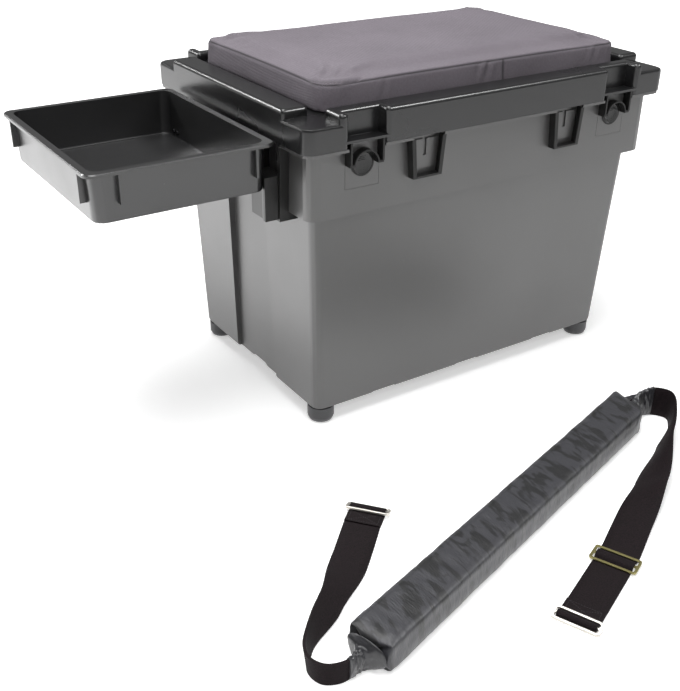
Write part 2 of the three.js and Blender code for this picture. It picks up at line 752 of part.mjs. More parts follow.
function makeLid() {
  const round = lid.edgeRound;
  const easing = round * (1 - Math.SQRT1_2);
  const under = seatLevel - lid.wall;
  const section = (z, pull) => roundedRing(lidHalfX - pull, lidHalfY - pull, lid.corner - pull, z);
  const base = loft([
    section(skirtBottom, 0),
    section(seatLevel - round, 0),
    section(seatLevel - easing, easing),
    section(seatLevel, round),
  ]);
  const bothEnds = (geometry) => [geometry, moved(geometry, 0, 0, 0, halfTurn)];
  let shell = join(base, ...bothEnds(longRail()), ...bothEnds(sideRail()));

  // Hollow underneath: one cavity below the top plate and a deeper one inside each rail
  const roof = railTop - rail.wall;
  const inset = lid.wall + rail.wall / 2;
  const deep = [under - overrun, roof];
  const hollow = loft([section(skirtBottom - overrun, lid.wall), section(under, lid.wall)]);
  const sideHollow = box(
    [lidHalfX - rail.width + inset, lidHalfX - inset],
    [-railHalfY + inset, railHalfY - inset],
    deep,
  );
  const longHollow = box(
    [-railHalfX + inset, railHalfX - inset],
    [-lidHalfY + inset, -lidHalfY + rail.width - inset],
    deep,
  );
  const behindRecess = railHalfX + recess.width;
  const backHollow = box(
    [-behindRecess, behindRecess],
    [-lidHalfY + recess.depth + inset, -lidHalfY + rail.width - inset],
    deep,
  );
  shell = cut(shell, hollow, ...bothEnds(sideHollow), ...bothEnds(longHollow), ...bothEnds(backHollow));

  // Locating lip that drops inside the collar, with gaps for the latch housings
  const lipLow = skirtBottom - lip.depth;
  const lipRing = (pull, z0, z1) => {
    const inwards = bin.wall + lip.gap + pull;
    const corner = collar.corner - inwards;
    const ringAt = (z) => roundedRing(collarHalfX - inwards, collarHalfY - inwards, corner, z);
    return loft([ringAt(z0), ringAt(z1)]);
  };
  const lipGapHalf = latch.width / 2 + latch.flange + lip.gap;
  const lipGaps = [-latchX, latchX].map((x) =>
    box([x - lipGapHalf, x + lipGapHalf], [-lidHalfY, -collarHalfY / 2], [lipLow - overrun, skirtBottom]),
  );
  const lipForm = cut(
    lipRing(0, lipLow, under + lid.wall / 2),
    lipRing(lip.wall, lipLow - overrun, under + overrun),
    ...lipGaps,
  );
  shell = join(shell, lipForm);

  // Notches over the latches in front and the hinges behind: lined, cut clear, then closed by a low shelf
  const notches = [-latchX, latchX];
  const linerHalf = recess.width / 2 + lid.wall;
  const liner = box(
    [-linerHalf, linerHalf],
    [-lidHalfY + lid.wall / 2, -lidHalfY + recess.depth + lid.wall],
    [skirtBottom, under + lid.wall / 2],
  );
  const notch = notchCutter(skirtBottom - clearance, railTop + overrun);
  const shelfHalf = recess.width / 2 + recess.edgeRound;
  const shelf = box(
    [-shelfHalf, shelfHalf],
    [-lidHalfY, -lidHalfY + recess.depth + lid.wall / 2],
    [shelfBottom, shelfTop],
  );
  for (const x of notches) {
    shell = join(shell, ...bothEnds(moved(liner, x, 0, 0)));
    shell = cut(shell, ...bothEnds(moved(notch, x, 0, 0)));
    shell = join(shell, ...bothEnds(moved(shelf, x, 0, 0)));
  }

  for (const x of notches) {
    shell = join(shell, moved(makeCatchTongue(), x, 0, 0), moved(makeKnuckle(), x, 0, 0));
    shell = cut(shell, moved(knuckleBore(), x, 0, 0));
  }
  const screwHole = cylinder(
    boardScrew.radius + clearance,
    under - overrun,
    seatLevel + overrun,
    smallSteps,
  );
  return cut(shell, ...boardScrewPlaces().map(([, x, y]) => moved(screwHole, x, y, 0)));
}

// A tongue under the lid behind each button, whose two hooked corners are pressed back by the stem
function makeCatchTongue() {
  const half = catchTongue.width / 2;
  const gap = catchTongue.noseGap / 2;
  const stemEnd = -collarHalfY + latch.cupDepth + button.stemEnd;
  const front = stemEnd + button.travel + catchTongue.swing;
  const back = front + catchTongue.thickness;
  const top = seatLevel - lid.wall / 2;
  const bottom = top - catchTongue.length;
  const strip = box([-half, half], [front, back], [bottom, top]);
  const noseRange = [bottom, bottom + catchTongue.noseHeight];
  const noses = [-1, 1].map((side) =>
    box([side * gap, side * half], [front - catchTongue.noseLength, back], noseRange),
  );
  return join(strip, ...noses);
}

// The barrel of the hinge and the web that carries it under the rear shelf
function makeKnuckle() {
  const half = latch.width / 2 - hinge.lugThickness - hinge.play;
  const reach = hinge.knuckleRadius * Math.SQRT1_2;
  const middle = (shelfBottom + shelfTop) / 2;
  const web = outline([
    [hingeY - hinge.knuckleRadius, hingeZ],
    [hingeY, hingeZ],
    [hingeY + reach, hingeZ + reach],
    [lidHalfY, middle],
    [hingeY - hinge.knuckleRadius - hinge.play, middle],
  ]);
  return join(prismX(disc(hingeY, hingeZ, hinge.knuckleRadius), -half, half), prismX(web, -half, half));
}

function knuckleBore() {
  return prismX(disc(hingeY, hingeZ, hinge.pinRadius + clearance), -latch.width, latch.width);
}

// Cushion: a crowned pad whose sides are drawn in between the corners, with a pocket below for its board
function cushionRing(z, pull) {
  const halfX = cushionHalfX - pull;
  const halfY = cushionHalfY - pull;
  const corner = Math.max(cushion.corner - pull, cushion.seamRound);
  const corners = roundedRing(halfX, halfY, corner, z);
  const points = [];
  corners.forEach((point, i) => {
    const next = corners[(i + 1) % corners.length];
    const steps = (i + 1) % (cornerSteps + 1) === 0 ? cushion.sideSteps : 1;
    for (let k = 0; k < steps; k++) {
      points.push(point.clone().lerp(next, k / steps));
    }
  });
  const fading = 1 - pull / cushionHalfY;
  for (const point of points) {
    const shareX = Math.min(1, Math.abs(point.x) / (halfX - corner));
    const shareY = Math.min(1, Math.abs(point.y) / (halfY - corner));
    if (Math.abs(point.y) > halfY - corner) {
      point.y -= Math.sign(point.y) * cushion.sidePull * fading * (1 - shareX * shareX);
    }
    if (Math.abs(point.x) > halfX - corner) {
      point.x -= Math.sign(point.x) * cushion.sidePull * fading * (1 - shareY * shareY);
    }
  }
  return points;
}

function boardForm(grow, low, high) {
  const ringAt = (z) => {
    const inwards = board.margin - grow;
    const corner = cushion.corner - board.margin + grow;
    return roundedRing(cushionHalfX - inwards, cushionHalfY - inwards, corner, z);
  };
  return loft([ringAt(low), ringAt(high)]);
}

function makeCushion() {
  const low = seatLevel + clearance;
  const seam = low + cushion.band;
  const rings = [
    cushionRing(low, cushion.bottomInset),
    cushionRing(low + cushion.band / 4, cushion.bandBulge / 2),
    cushionRing(low + cushion.band / 2, 0),
    cushionRing(seam - cushion.band / 4, cushion.bandBulge / 4),
    cushionRing(seam - cushion.piping, cushion.bandBulge / 2),
    cushionRing(seam, cushion.bandBulge / 4),
    cushionRing(seam + cushion.piping / 2, cushion.bandBulge),
  ];
  const reach = cushionHalfY - cushion.corner;
  for (let i = 1; i <= cushion.crownSteps; i++) {
    const share = i / cushion.crownSteps;
    const rise = cushion.crown * Math.sin((share * Math.PI) / 2);
    rings.push(cushionRing(seam + rise, cushion.bandBulge + share * reach));
  }
  return cut(loft(rings), boardForm(clearance, low - overrun, low + board.thickness + clearance));
}

function boardScrewPlaces() {
  const x = cushionHalfX - boardScrew.insetX;
  const y = cushionHalfY - boardScrew.insetY;
  return [[-x, -y], [x, -y], [-x, y], [x, y]].map((place, i) => [`cushion_screw_${i + 1}`, ...place]);
}

function makeBoard() {
  const low = seatLevel + clearance;
  const hole = cylinder(
    boardScrew.radius + boardScrew.slack,
    low - overrun,
    low + boardScrew.depth,
    smallSteps,
  );
  return cut(
    boardForm(0, low, low + board.thickness),
    ...boardScrewPlaces().map(([, x, y]) => moved(hole, x, y, 0)),
  );
}

function makeBoardScrew() {
  const head = seatLevel - lid.wall - clearance;
  const headBottom = head - boardScrew.headHeight;
  const tip = seatLevel + boardScrew.depth;
  return turned([
    [0, headBottom],
    [boardScrew.headRadius * Math.SQRT1_2, headBottom],
    [boardScrew.headRadius, head - boardScrew.headHeight / 2],
    [boardScrew.headRadius, head],
    [boardScrew.radius, head],
    [boardScrew.radius, tip - boardScrew.radius],
    [0, tip],
  ], smallSteps);
}

// Side tray, drawn about its own middle in plan
const trayTop = collarTop + tray.topRise;
const trayBottom = trayTop - tray.depth;
const trayX = -collarHalfX - tray.boxGap - tray.width / 2;
const trayHalfY = sideSocketY + tray.socketOverhang;

function trayWallPull(z) {
  return tray.rim + (tray.draft * (trayTop - z)) / tray.depth;
}

function trayRing(z, extra = 0) {
  const pull = trayWallPull(z) + extra;
  return roundedRing(tray.width / 2 - pull, trayHalfY - pull, tray.corner - extra, z);
}

// Thin ribs that brace the rim from below, two on the outer side and two on each end
function trayRibs() {
  const low = trayTop - tray.rimSkirt - trayRib.drop;
  const high = trayTop - tray.rimThickness / 2;
  const half = trayRib.thickness / 2;
  const root = trayWallPull(low) + tray.wall / 2;
  const edge = tray.rimSkirtWall / 2;
  const ribs = [];
  for (const side of [-1, 1]) {
    const y = side * (trayHalfY - trayRib.cornerDistance);
    ribs.push(box([-tray.width / 2 + edge, -tray.width / 2 + root], [y - half, y + half], [low, high]));
    for (const end of [-1, 1]) {
      const x = end * trayRib.frontOffset + trayRib.frontShift;
      const ends = [side * (trayHalfY - root), side * (trayHalfY - edge)];
      ribs.push(box([x - half, x + half], ends, [low, high]));
    }
  }
  return ribs;
}

function makeTray() {
  const round = tray.floorRound;
  const easing = round * (1 - Math.SQRT1_2);
  const inner = trayBottom + tray.floor;
  const middle = trayTop - tray.rimThickness / 2;
  const outside = loft([
    trayRing(trayBottom, round),
    trayRing(trayBottom + easing, easing),
    trayRing(trayBottom + round),
    trayRing(middle),
  ]);
  const inside = loft([
    trayRing(inner, tray.wall + round),
    trayRing(inner + easing, tray.wall + easing),
    trayRing(inner + round, tray.wall),
    trayRing(trayTop + overrun, tray.wall),
  ]);
  const rimAt = (z, pull) =>
    roundedRing(tray.width / 2 - pull, trayHalfY - pull, tray.rimCorner - pull, z);
  const rim = cut(
    loft([rimAt(trayTop - tray.rimSkirt, 0), rimAt(middle, 0), rimAt(trayTop, tray.rimThickness / 2)]),
    loft([
      rimAt(trayTop - tray.rimSkirt - overrun, tray.rimSkirtWall),
      rimAt(trayTop - tray.rimThickness, tray.rimSkirtWall),
    ]),
  );
  const hole = moved(trayScrewForm(trayScrew.radius + clearance, -overrun, overrun), -trayX, 0, 0);
  const holes = trayScrewPlaces().map(([, y]) => moved(hole, 0, y, 0));
  return cut(join(rim, outside, ...trayRibs()), inside, ...holes);
}

// The brackets are screwed to the wall of the tray just above its rounded floor edge
const trayScrewLevel = trayBottom + tray.floor + tray.floorRound + trayScrew.headRadius + clearance;
const trayScrewX = trayX + tray.width / 2 - trayWallPull(trayScrewLevel);

// Two screws in each bracket, on the side of its middle where the wall of the tray is flat
function trayScrewPlaces() {
  const places = [-1, 1].flatMap((side) =>
    bracket.screwInsets.map((inset) => side * (sideSocketY - inset)),
  );
  return places.map((y, i) => [`tray_screw_${i + 1}`, y]);
}

// A round form through the inner wall of the tray, measured from the outside face of that wall
function trayScrewForm(radius, start, end) {
  return prismX(disc(0, trayScrewLevel, radius), trayScrewX + start, trayScrewX + end, arcSteps / 2);
}

function makeTrayScrew() {
  const head = -tray.wall - clearance;
  return join(
    trayScrewForm(trayScrew.headRadius, head - trayScrew.headHeight, head),
    trayScrewForm(trayScrew.radius, head - trayScrew.headHeight / 2, trayScrew.length),
  );
}

// Bracket: a dovetail that drops into a side socket, and a hollow block screwed to the tray.
// It is drawn like the socket, with the face of the collar at y = 0 and outwards -Y, and then placed.
function makeBracket(side) {
  const bottom = sideSocket.length - socket.wall - clearance;
  const lipBack = -sideSocket.depth + socket.lipThickness;
  const blockFace = -lid.overhang - clearance;
  const head = prismY(
    socketOutline(sideSocket, socket.wall + clearance, bottom, bracket.headTop),
    lipBack + clearance,
    -socket.padHeight - clearance,
  );
  const neck = prismY(
    socketOutline(sideSocket, socket.wall + socket.lipWidth + clearance, bottom, bracket.headTop),
    blockFace - bracket.wall,
    lipBack + 2 * clearance,
  );
  const wallFace = -tray.boxGap - tray.rim;
  const half = bracket.halfWidth;
  const blockBack = wallFace - tray.draft - bracket.wall;
  const block = box([-half, half], [blockBack, blockFace], [-bottom, -bracket.top]);
  const cellWidth = (2 * half - 4 * bracket.wall) / 3;
  const cells = [-1, 0, 1].map((i) => {
    const middle = i * (cellWidth + bracket.wall);
    return box(
      [middle - cellWidth / 2, middle + cellWidth / 2],
      [wallFace + bracket.wall, blockFace - bracket.wall],
      [-bottom - overrun, -bracket.top - bracket.wall],
    );
  });
  const blank = onCollar(cut(join(head, neck, block), ...cells), "left", side * sideSocketY);
  const wallAt = (z, level) => {
    const pull = trayWallPull(level) - clearance;
    return roundedRing(tray.width / 2 - pull, trayHalfY - pull, tray.corner + clearance, z);
  };
  const trayForm = loft([
    wallAt(trayBottom - tray.depth, trayBottom),
    wallAt(trayBottom, trayBottom),
    wallAt(trayTop, trayTop),
  ]);
  const hole = trayScrewForm(trayScrew.radius + trayScrew.slack, -overrun, trayScrew.length + clearance);
  const holes = trayScrewPlaces().map(([, y]) => moved(hole, 0, y, 0));
  return cut(blank, moved(trayForm, trayX, 0, 0), ...holes);
}

// Padded sleeve of the strap: a soft-edged box, rounded off at both ends where the webbing enters
function makePad() {
  const half = pad.length / 2;
  const section = (along, share) => {
    const halfWidth = THREE.MathUtils.lerp(pad.endWidth, pad.width, share) / 2;
    const halfHeight = THREE.MathUtils.lerp(pad.endHeight, pad.thickness, share) / 2;
    const ringPoints = roundedRing(halfWidth, halfHeight, pad.corner, 0);
    return ringPoints.map((p) => new THREE.Vector3(along, p.x, halfHeight + p.y));
  };
  const rings = [];
  for (const side of [-1, 1]) {
    const end = [];
    for (let i = 0; i <= pad.endSteps; i++) {
      const angle = (i * Math.PI) / (2 * pad.endSteps);
      end.push(section(side * (half - pad.taper * (1 - Math.cos(angle))), Math.sin(angle)));
    }
    rings.push(...(side < 0 ? end : end.reverse()));
  }
  return moved(loft(rings), 0, 0, 0, pad.turn);
}

// Value at a place along a list, eased between its entries
function between(values, place) {
  const index = Math.min(Math.floor(place), values.length - 2);
  const share = THREE.MathUtils.smoothstep(place - index, 0, 1);
  return THREE.MathUtils.lerp(values[index], values[index + 1], share);
}

// Flat strip along a run on the ground. Where it is folded together it is narrower and thicker.
function ribbon(points, headings, tiltShares, widthShares) {
  const places = points.map(([x, y]) => new THREE.Vector3(x, y, 0));
  const line = new THREE.CatmullRomCurve3(places, false, "centripetal");
  const rings = [];
  for (let i = 0; i <= webbing.stations; i++) {
    const t = i / webbing.stations;
    const place = t * (points.length - 1);
    const heading = THREE.MathUtils.degToRad(between(headings, place));
    const tilt = (between(tiltShares, place) * Math.PI) / 2;
    const widthShare = between(widthShares, place);
    const halfWidth = (webbing.width * widthShare) / 2;
    const halfThickness = webbing.thickness / widthShare / 2;
    const along = line.getTangent(t);
    const wide = new THREE.Vector3(-Math.sin(heading), Math.cos(heading), 0).multiplyScalar(Math.cos(tilt));
    wide.z = Math.sin(tilt);
    wide.addScaledVector(along, -wide.dot(along)).normalize();
    const thick = new THREE.Vector3().crossVectors(along, wide);
    const centre = line.getPoint(t);
    centre.z = halfWidth * wide.z + halfThickness * thick.z;
    rings.push(
      [[-1, -1], [1, -1], [1, 1], [-1, 1]].map(([a, b]) =>
        centre
          .clone()
          .addScaledVector(wide, a * halfWidth)
          .addScaledVector(thick, b * halfThickness),
      ),
    );
  }
  return loft(rings);
}

// Buckle frame of round-edged stock: length across the webbing, width along it
function frame(size, thickness, slots) {
  const half = size.width / 2;
  const asPoints = (ringPoints) => ringPoints.map((p) => new THREE.Vector2(p.x, p.y));
  const steps = cornerSteps / 2;
  const shape = new THREE.Shape(asPoints(roundedRing(half, size.length / 2, size.corner, 0, steps)));
  const slotHalf = size.length / 2 - size.wire;
  for (const [start, end] of slots) {
    const slotRing = roundedRing((end - start) / 2, slotHalf, size.wire / 2, 0, steps);
    const path = new THREE.Path(asPoints(slotRing.map((p) => p.setX(p.x + (start + end) / 2))).reverse());
    shape.holes.push(path);
  }
  const geometry = new THREE.ExtrudeGeometry(shape, {
    depth: thickness - 2 * size.bevel,
    bevelThickness: size.bevel,
    bevelSize: size.bevel,
    bevelOffset: -size.bevel,
    bevelSegments: size.bevelSteps,
  });
  geometry.translate(0, 0, size.bevel);
  return geometry;
}

// The ring hangs in a sewn loop of webbing by its middle bar. Its near bar lies over the sewn end, and its
// far bar rests on the ground.
const ringTilt = Math.asin((2 * webbing.thickness + clearance) / (ring.width - ring.wire));
const ringBarLevel = (ring.width * Math.sin(ringTilt) + ring.wire * Math.cos(ringTilt)) / 2;

function makeRing() {
  const inner = ring.width / 2 - ring.wire;
  const bar = ring.bar / 2;
  const geometry = frame(ring, ring.wire, [[-inner, -bar], [bar, inner]]);
  geometry.translate(0, 0, -ring.wire / 2);
  geometry.rotateY(ringTilt);
  geometry.translate(0, 0, ringBarLevel);
  return geometry;
}

// Sewn loop of webbing around the middle bar of a ring, drawn with the bar at x = 0
function webbingLoop() {
  const sewnTop = 2 * webbing.thickness;
  const radius = ringBarLevel;
  const shape = new THREE.Shape();
  shape.moveTo(-webbing.seam, 0);
  shape.lineTo(0, 0);
  shape.absarc(0, radius, radius, -Math.PI / 2, Math.PI + Math.asin((radius - sewnTop) / radius));
  shape.lineTo(-webbing.seam, sewnTop);
  const hole = new THREE.Path();
  hole.absarc(0, radius, radius - webbing.thickness, 0, 2 * Math.PI, true);
  shape.holes.push(hole);
  return prismY(shape, -webbing.width / 2, webbing.width / 2, arcSteps);
}

// Strip of webbing that passes under the outer bars of the slider and over its middle bar, and then runs on
function sliderPassage(runLength) {
  const half = webbing.thickness / 2;
  const high = webbing.thickness + slider.thickness + 2 * clearance + half;
  const foothold = slider.width / 2 - slider.wire - half;
  const summit = slider.wire / 2 + webbing.thickness;
  const line = [
    [-slider.approach, half], [-foothold, half], [-summit, high],
    [summit, high], [foothold, half], [runLength, half],
  ].map(([u, v]) => new THREE.Vector2(u, v));
  const normals = line.slice(1).map((point, i) => {
    const step = point.clone().sub(line[i]).normalize();
    return new THREE.Vector2(-step.y, step.x);
  });
  const offsets = line.map((_, i) => {
    const before = normals[Math.max(i - 1, 0)];
    const after = normals[Math.min(i, normals.length - 1)];
    return before.clone().add(after).multiplyScalar(half / (1 + before.dot(after)));
  });
  const upper = line.map((point, i) => point.clone().add(offsets[i]));
  const lower = line.map((point, i) => point.clone().sub(offsets[i]));
  return prismY(new THREE.Shape([...lower, ...upper.reverse()]), -webbing.width / 2, webbing.width / 2);
}

function makeSlider() {
  const half = slider.width / 2;
  const bar = slider.wire / 2;
  return frame(slider, slider.thickness, [[-half + slider.wire, -bar], [bar, half - slider.wire]]);
}

function ahead({ x, y, heading }, distance) {
  const angle = THREE.MathUtils.degToRad(heading);
  return [x + distance * Math.cos(angle), y + distance * Math.sin(angle)];
}

function padEnd(side) {
  return ahead({ x: pad.x, y: pad.y, heading: pad.turn }, side * (pad.length / 2 + clearance));
}

function makeWebbingLeft() {
  const bar = leftRun.ring;
  const points = [padEnd(-1), ...leftRun.points, ahead(bar, -webbing.seam / 2)];
  const headings = [...leftRun.headings, bar.heading];
  return join(
    ribbon(points, headings, [...leftRun.tiltShares, 0], [...leftRun.widthShares, 1]),
    moved(webbingLoop(), bar.x, bar.y, 0, bar.heading),
  );
}

function makeWebbingRight() {
  const bar = rightRun.ring;
  const place = rightRun.slider;
  const start = ahead(place, -slider.approach / 2 - slider.width / 4);
  const runLength = Math.hypot(bar.x - place.x, bar.y - place.y) - webbing.seam / 2;
  const points = [padEnd(1), ...rightRun.points, start];
  const headings = [...rightRun.headings, place.heading];
  return join(
    ribbon(points, headings, [...rightRun.tiltShares, 0], [...rightRun.widthShares, 1]),
    moved(sliderPassage(runLength), place.x, place.y, 0, place.heading),
    moved(webbingLoop(), bar.x, bar.y, 0, bar.heading),
  );
}

// Assembly
const binParts = splitAtFlange(makeBin());
addPiece("bin_shell", binParts.shell, "box");
addPiece("collar_rim_front", binParts.front, "box");
addPiece("collar_rim", binParts.rest, "box");
for (const [name, x, y] of footPlaces()) {
  addPiece(name, makeFoot(), "foot", x, y);
}
for (const [name, size, face, offset] of socketPlaces()) {
  const frameForm = accessorySocket(size);
  const form = size === sideSocket ? join(frameForm, socketGussets()) : frameForm;
  addPiece(name, onCollar(form, face, offset), "box");
}
for (const [side, x] of [["left", -latchX], ["right", latchX]]) {
  addPiece(`latch_housing_${side}`, makeLatchHousing(), "box", x, -collarHalfY, buttonLevel);
  addPiece(`latch_button_${side}`, makeButton(), "lid", x, -collarHalfY, buttonLevel);
  addPiece(`latch_clip_${side}`, makeClip(), "steel", x, -collarHalfY, buttonLevel);
  addPiece(`latch_spring_${side}`, makeSpring(), "steel", x, -collarHalfY, buttonLevel);
  addPiece(`hinge_pin_${side}`, makeHingePin(), "steel", x, hingeY, hingeZ);
}
addPiece("lid_shell", makeLid(), "lid");
addPiece("cushion_board", makeBoard(), "wood");
addPiece("seat_cushion", makeCushion(), "fabric");
for (const [name, x, y] of boardScrewPlaces()) {
  addPiece(name, makeBoardScrew(), "steel", x, y);
}
addPiece("side_tray", makeTray(), "tray", trayX);
addPiece("tray_bracket_front", makeBracket(-1), "tray");
addPiece("tray_bracket_rear", makeBracket(1), "tray");
for (const [name, y] of trayScrewPlaces()) {
  addPiece(name, makeTrayScrew(), "steel", 0, y);
}
addPiece("strap_pad", makePad(), "satin", pad.x, pad.y);
addPiece("strap_webbing_left", makeWebbingLeft(), "webbing");
addPiece("strap_webbing_right", makeWebbingRight(), "webbing");
for (const [side, run] of [["left", leftRun], ["right", rightRun]]) {
  const bar = run.ring;
  addPiece(`strap_ring_${side}`, moved(makeRing(), 0, 0, 0, bar.heading), "steel", bar.x, bar.y);
}
const sliderPlace = rightRun.slider;
addPiece(
  "strap_slider",
  moved(makeSlider(), 0, 0, 0, sliderPlace.heading),
  "brass",
  sliderPlace.x,
  sliderPlace.y,
  webbing.thickness + clearance,
);

// The frame of the whole set: origin on the ground, under the middle of everything
const bounds = new THREE.Box3().setFromObject(group);
const middle = bounds.getCenter(new THREE.Vector3());
for (const mesh of group.children) {
  mesh.position.x -= middle.x;
  mesh.position.y -= middle.y;
  mesh.position.z -= bounds.min.z;
}

export default group;
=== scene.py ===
import math

import bpy
from mathutils import Matrix, Vector, noise


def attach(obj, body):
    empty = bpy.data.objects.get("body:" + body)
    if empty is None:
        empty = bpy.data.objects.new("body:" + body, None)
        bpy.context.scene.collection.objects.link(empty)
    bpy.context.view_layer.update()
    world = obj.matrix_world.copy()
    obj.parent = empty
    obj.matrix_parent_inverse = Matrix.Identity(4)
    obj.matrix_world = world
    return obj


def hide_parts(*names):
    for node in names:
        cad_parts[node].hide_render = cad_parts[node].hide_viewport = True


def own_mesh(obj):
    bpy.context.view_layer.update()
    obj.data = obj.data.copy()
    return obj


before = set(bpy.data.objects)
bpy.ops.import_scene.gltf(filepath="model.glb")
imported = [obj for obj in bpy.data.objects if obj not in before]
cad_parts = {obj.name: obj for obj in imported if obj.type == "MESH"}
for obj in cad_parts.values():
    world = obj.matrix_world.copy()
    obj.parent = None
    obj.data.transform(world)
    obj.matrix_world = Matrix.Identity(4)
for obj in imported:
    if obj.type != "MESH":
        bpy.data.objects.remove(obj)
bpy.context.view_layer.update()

# Camera
# The photograph was taken with a long lens from the front left, a little above the seat, so that the front,
# the tray side and the top all show. It looks straight at the middle of the picture.
camera_place = (-0.70605, -0.87117, 0.7121)
camera_azimuth = math.radians(-33.4)
camera_elevation = math.radians(28.6)
camera_roll = math.radians(0.63)
camera_lens = 52.05

bpy.ops.object.camera_add(location=camera_place)
camera = bpy.context.object
looking = Matrix.Rotation(camera_azimuth, 3, "Z") @ Matrix.Rotation(math.pi / 2 - camera_elevation, 3, "X")
camera.rotation_euler = (looking @ Matrix.Rotation(camera_roll, 3, "Z")).to_euler()
camera.data.lens = camera_lens
bpy.context.scene.camera = camera

# Studio
# A white sweep under and round the object, brought up to white beyond its shadow. Soft panels hang overhead,
# on the tray side and in front. Two strips and a card near the floor show only as reflections: the strips
# along the rounded rails, the card in the faces on the tray side.
floor_size = 16
floor_drop = 0.0003
floor_white = 0.9
floor_lift = 0.45
floor_lift_far = 1
shadow_reach = 0.9
floor_fade_end = 2
floor_shine = 0.75
sky_level = 0.27
studio_target = Vector((0, 0, 0.2))
panels = [
    ("overhead_panel", (-0.35, 0.15, 2.3), (2.2, 1.4), 68),
    ("left_panel", (-2.1, 1.6, 0.7), (1.6, 1.2), 9),
    ("front_panel", (-0.5, -2.3, 2.4), (0.8, 0.5), 16),
    ("rear_strip", (-1.5, 2.3, 1.75), (1.5, 0.25), 60),
    ("right_strip", (1.9, -1.9, 3.0), (1.7, 0.3), 110),
]
card_place = (-1.25, 1.1, 0.01)
card_size = 2
card_power = 13

bpy.ops.mesh.primitive_plane_add(size=floor_size, location=(0, 0, -floor_drop))
floor = bpy.context.object
floor.name = "studio_floor"


def new_material(name):
    """An empty node material: its tree, and its Principled shader."""
    material = bpy.data.materials.new(name)
    material.use_nodes = True
    return material, material.node_tree, material.node_tree.nodes["Principled BSDF"]


def wire(tree, node, inputs):
    """Set inputs of a node, each to a value or by a link from the output of another node."""
    for name, value in inputs.items():
        if isinstance(value, bpy.types.NodeSocket):
            tree.links.new(value, node.inputs[name])
        else:
            node.inputs[name].default_value = value


def add_node(tree, kind, inputs=None, **settings):
    """A new node with its settings made and its inputs wired."""
    made = tree.nodes.new(kind)
    for setting, value in settings.items():
        setattr(made, setting, value)
    wire(tree, made, inputs or {})
    return made


def maths(tree, operation, *terms):
    """The result of a maths node over values and outputs."""
    return add_node(tree, "ShaderNodeMath", dict(enumerate(terms)), operation=operation).outputs[0]


def blend(tree, factor, first, second, **settings):
    """The colour between two others, as a mix node gives it."""
    inputs = {"Factor": factor, "A": first, "B": second}
    return add_node(tree, "ShaderNodeMix", inputs, data_type="RGBA", **settings).outputs["Result"]


def bumped(tree, height, strength, depth):
    """The normal of a surface that rises and falls with a height, by depth in metres."""
    inputs = {"Height": height, "Strength": strength, "Distance": depth}
    return add_node(tree, "ShaderNodeBump", inputs).outputs["Normal"]


floor_material, tree, shader = new_material("white_sweep")
rays = add_node(tree, "ShaderNodeLightPath")
place = add_node(tree, "ShaderNodeNewGeometry")
distance = add_node(tree, "ShaderNodeVectorMath", {0: place.outputs["Position"]}, operation="LENGTH")
fade = add_node(tree, "ShaderNodeMapRange", {
    "Value": distance.outputs["Value"], "From Min": shadow_reach, "From Max": floor_fade_end,
    "To Min": floor_lift, "To Max": floor_lift_far,
}, interpolation_type="SMOOTHSTEP")
mirrored = maths(tree, "MULTIPLY", rays.outputs["Is Glossy Ray"], floor_shine)
lift = maths(tree, "MULTIPLY_ADD", rays.outputs["Is Camera Ray"], fade.outputs["Result"], mirrored)
wire(tree, shader, {
    "Base Color": (floor_white, floor_white, floor_white, 1),
    "Roughness": 0.9,
    "Specular IOR Level": 0.1,
    "Emission Color": (1, 1, 1, 1),
    "Emission Strength": lift,
})
floor.data.materials.append(floor_material)

world = bpy.data.worlds.new("studio")
bpy.context.scene.world = world
world.use_nodes = True
tree = world.node_tree
rays = add_node(tree, "ShaderNodeLightPath")
seen = maths(tree, "MAXIMUM", rays.outputs["Is Camera Ray"], rays.outputs["Is Transmission Ray"])
level = add_node(tree, "ShaderNodeMix", {"Factor": seen, "A": sky_level, "B": 1}, data_type="FLOAT")
wire(tree, tree.nodes["Background"], {"Color": (1, 1, 1, 1), "Strength": level.outputs["Result"]})

for name, place, size, power in panels:
    bpy.ops.object.light_add(type="AREA", location=place)
    panel = bpy.context.object
    panel.name = name
    panel.data.shape = "RECTANGLE"
    panel.data.size, panel.data.size_y = size
    panel.data.energy = power
    panel.rotation_euler = (Vector(place) - studio_target).to_track_quat("Z", "Y").to_euler()
    panel.visible_diffuse = not name.endswith("strip")
bpy.ops.object.light_add(type="AREA", location=card_place, rotation=(math.pi, 0, 0))
card = bpy.context.object
card.name = "left_reflector"
card.data.size = card_size
card.data.energy = card_power
card.visible_camera = False
card.visible_diffuse = False
bpy.context.scene.view_settings.view_transform = "Standard"

# Bin
# The bin is one deep polypropylene moulding with a fine spark-eroded surface. Its stepped collar carries the
# sockets, the latches and the hinge ears, and its edges are slightly eased, as the mould leaves them.
bin_edge = 0.0014
bin_turn = math.radians(18)
edge_steps = 2
weld = 0.00002
flat_turn = math.radians(0.6)
rim_reach = 0.0005
smooth_turn = math.radians(35)


def only(piece):
    """Select one piece and make it the active one."""
    bpy.ops.object.select_all(action="DESELECT")
    piece.select_set(True)
    bpy.context.view_layer.objects.active = piece


def apply_last(piece):
    """Apply the modifier that was added last."""
    only(piece)
    bpy.ops.object.modifier_apply(modifier=piece.modifiers[-1].name)


def made_whole(piece):
    """Weld the points of a faceted piece, and make its flat faces whole again."""
    only(piece)
    bpy.ops.object.mode_set(mode="EDIT")
    bpy.ops.mesh.select_all(action="SELECT")
    bpy.ops.mesh.remove_doubles(threshold=weld)
    bpy.ops.mesh.dissolve_limited(angle_limit=flat_turn)
    bpy.ops.object.mode_set(mode="OBJECT")


def new_piece(name, mesh):
    piece = bpy.data.objects.new(name, mesh)
    bpy.context.scene.collection.objects.link(piece)
    return piece


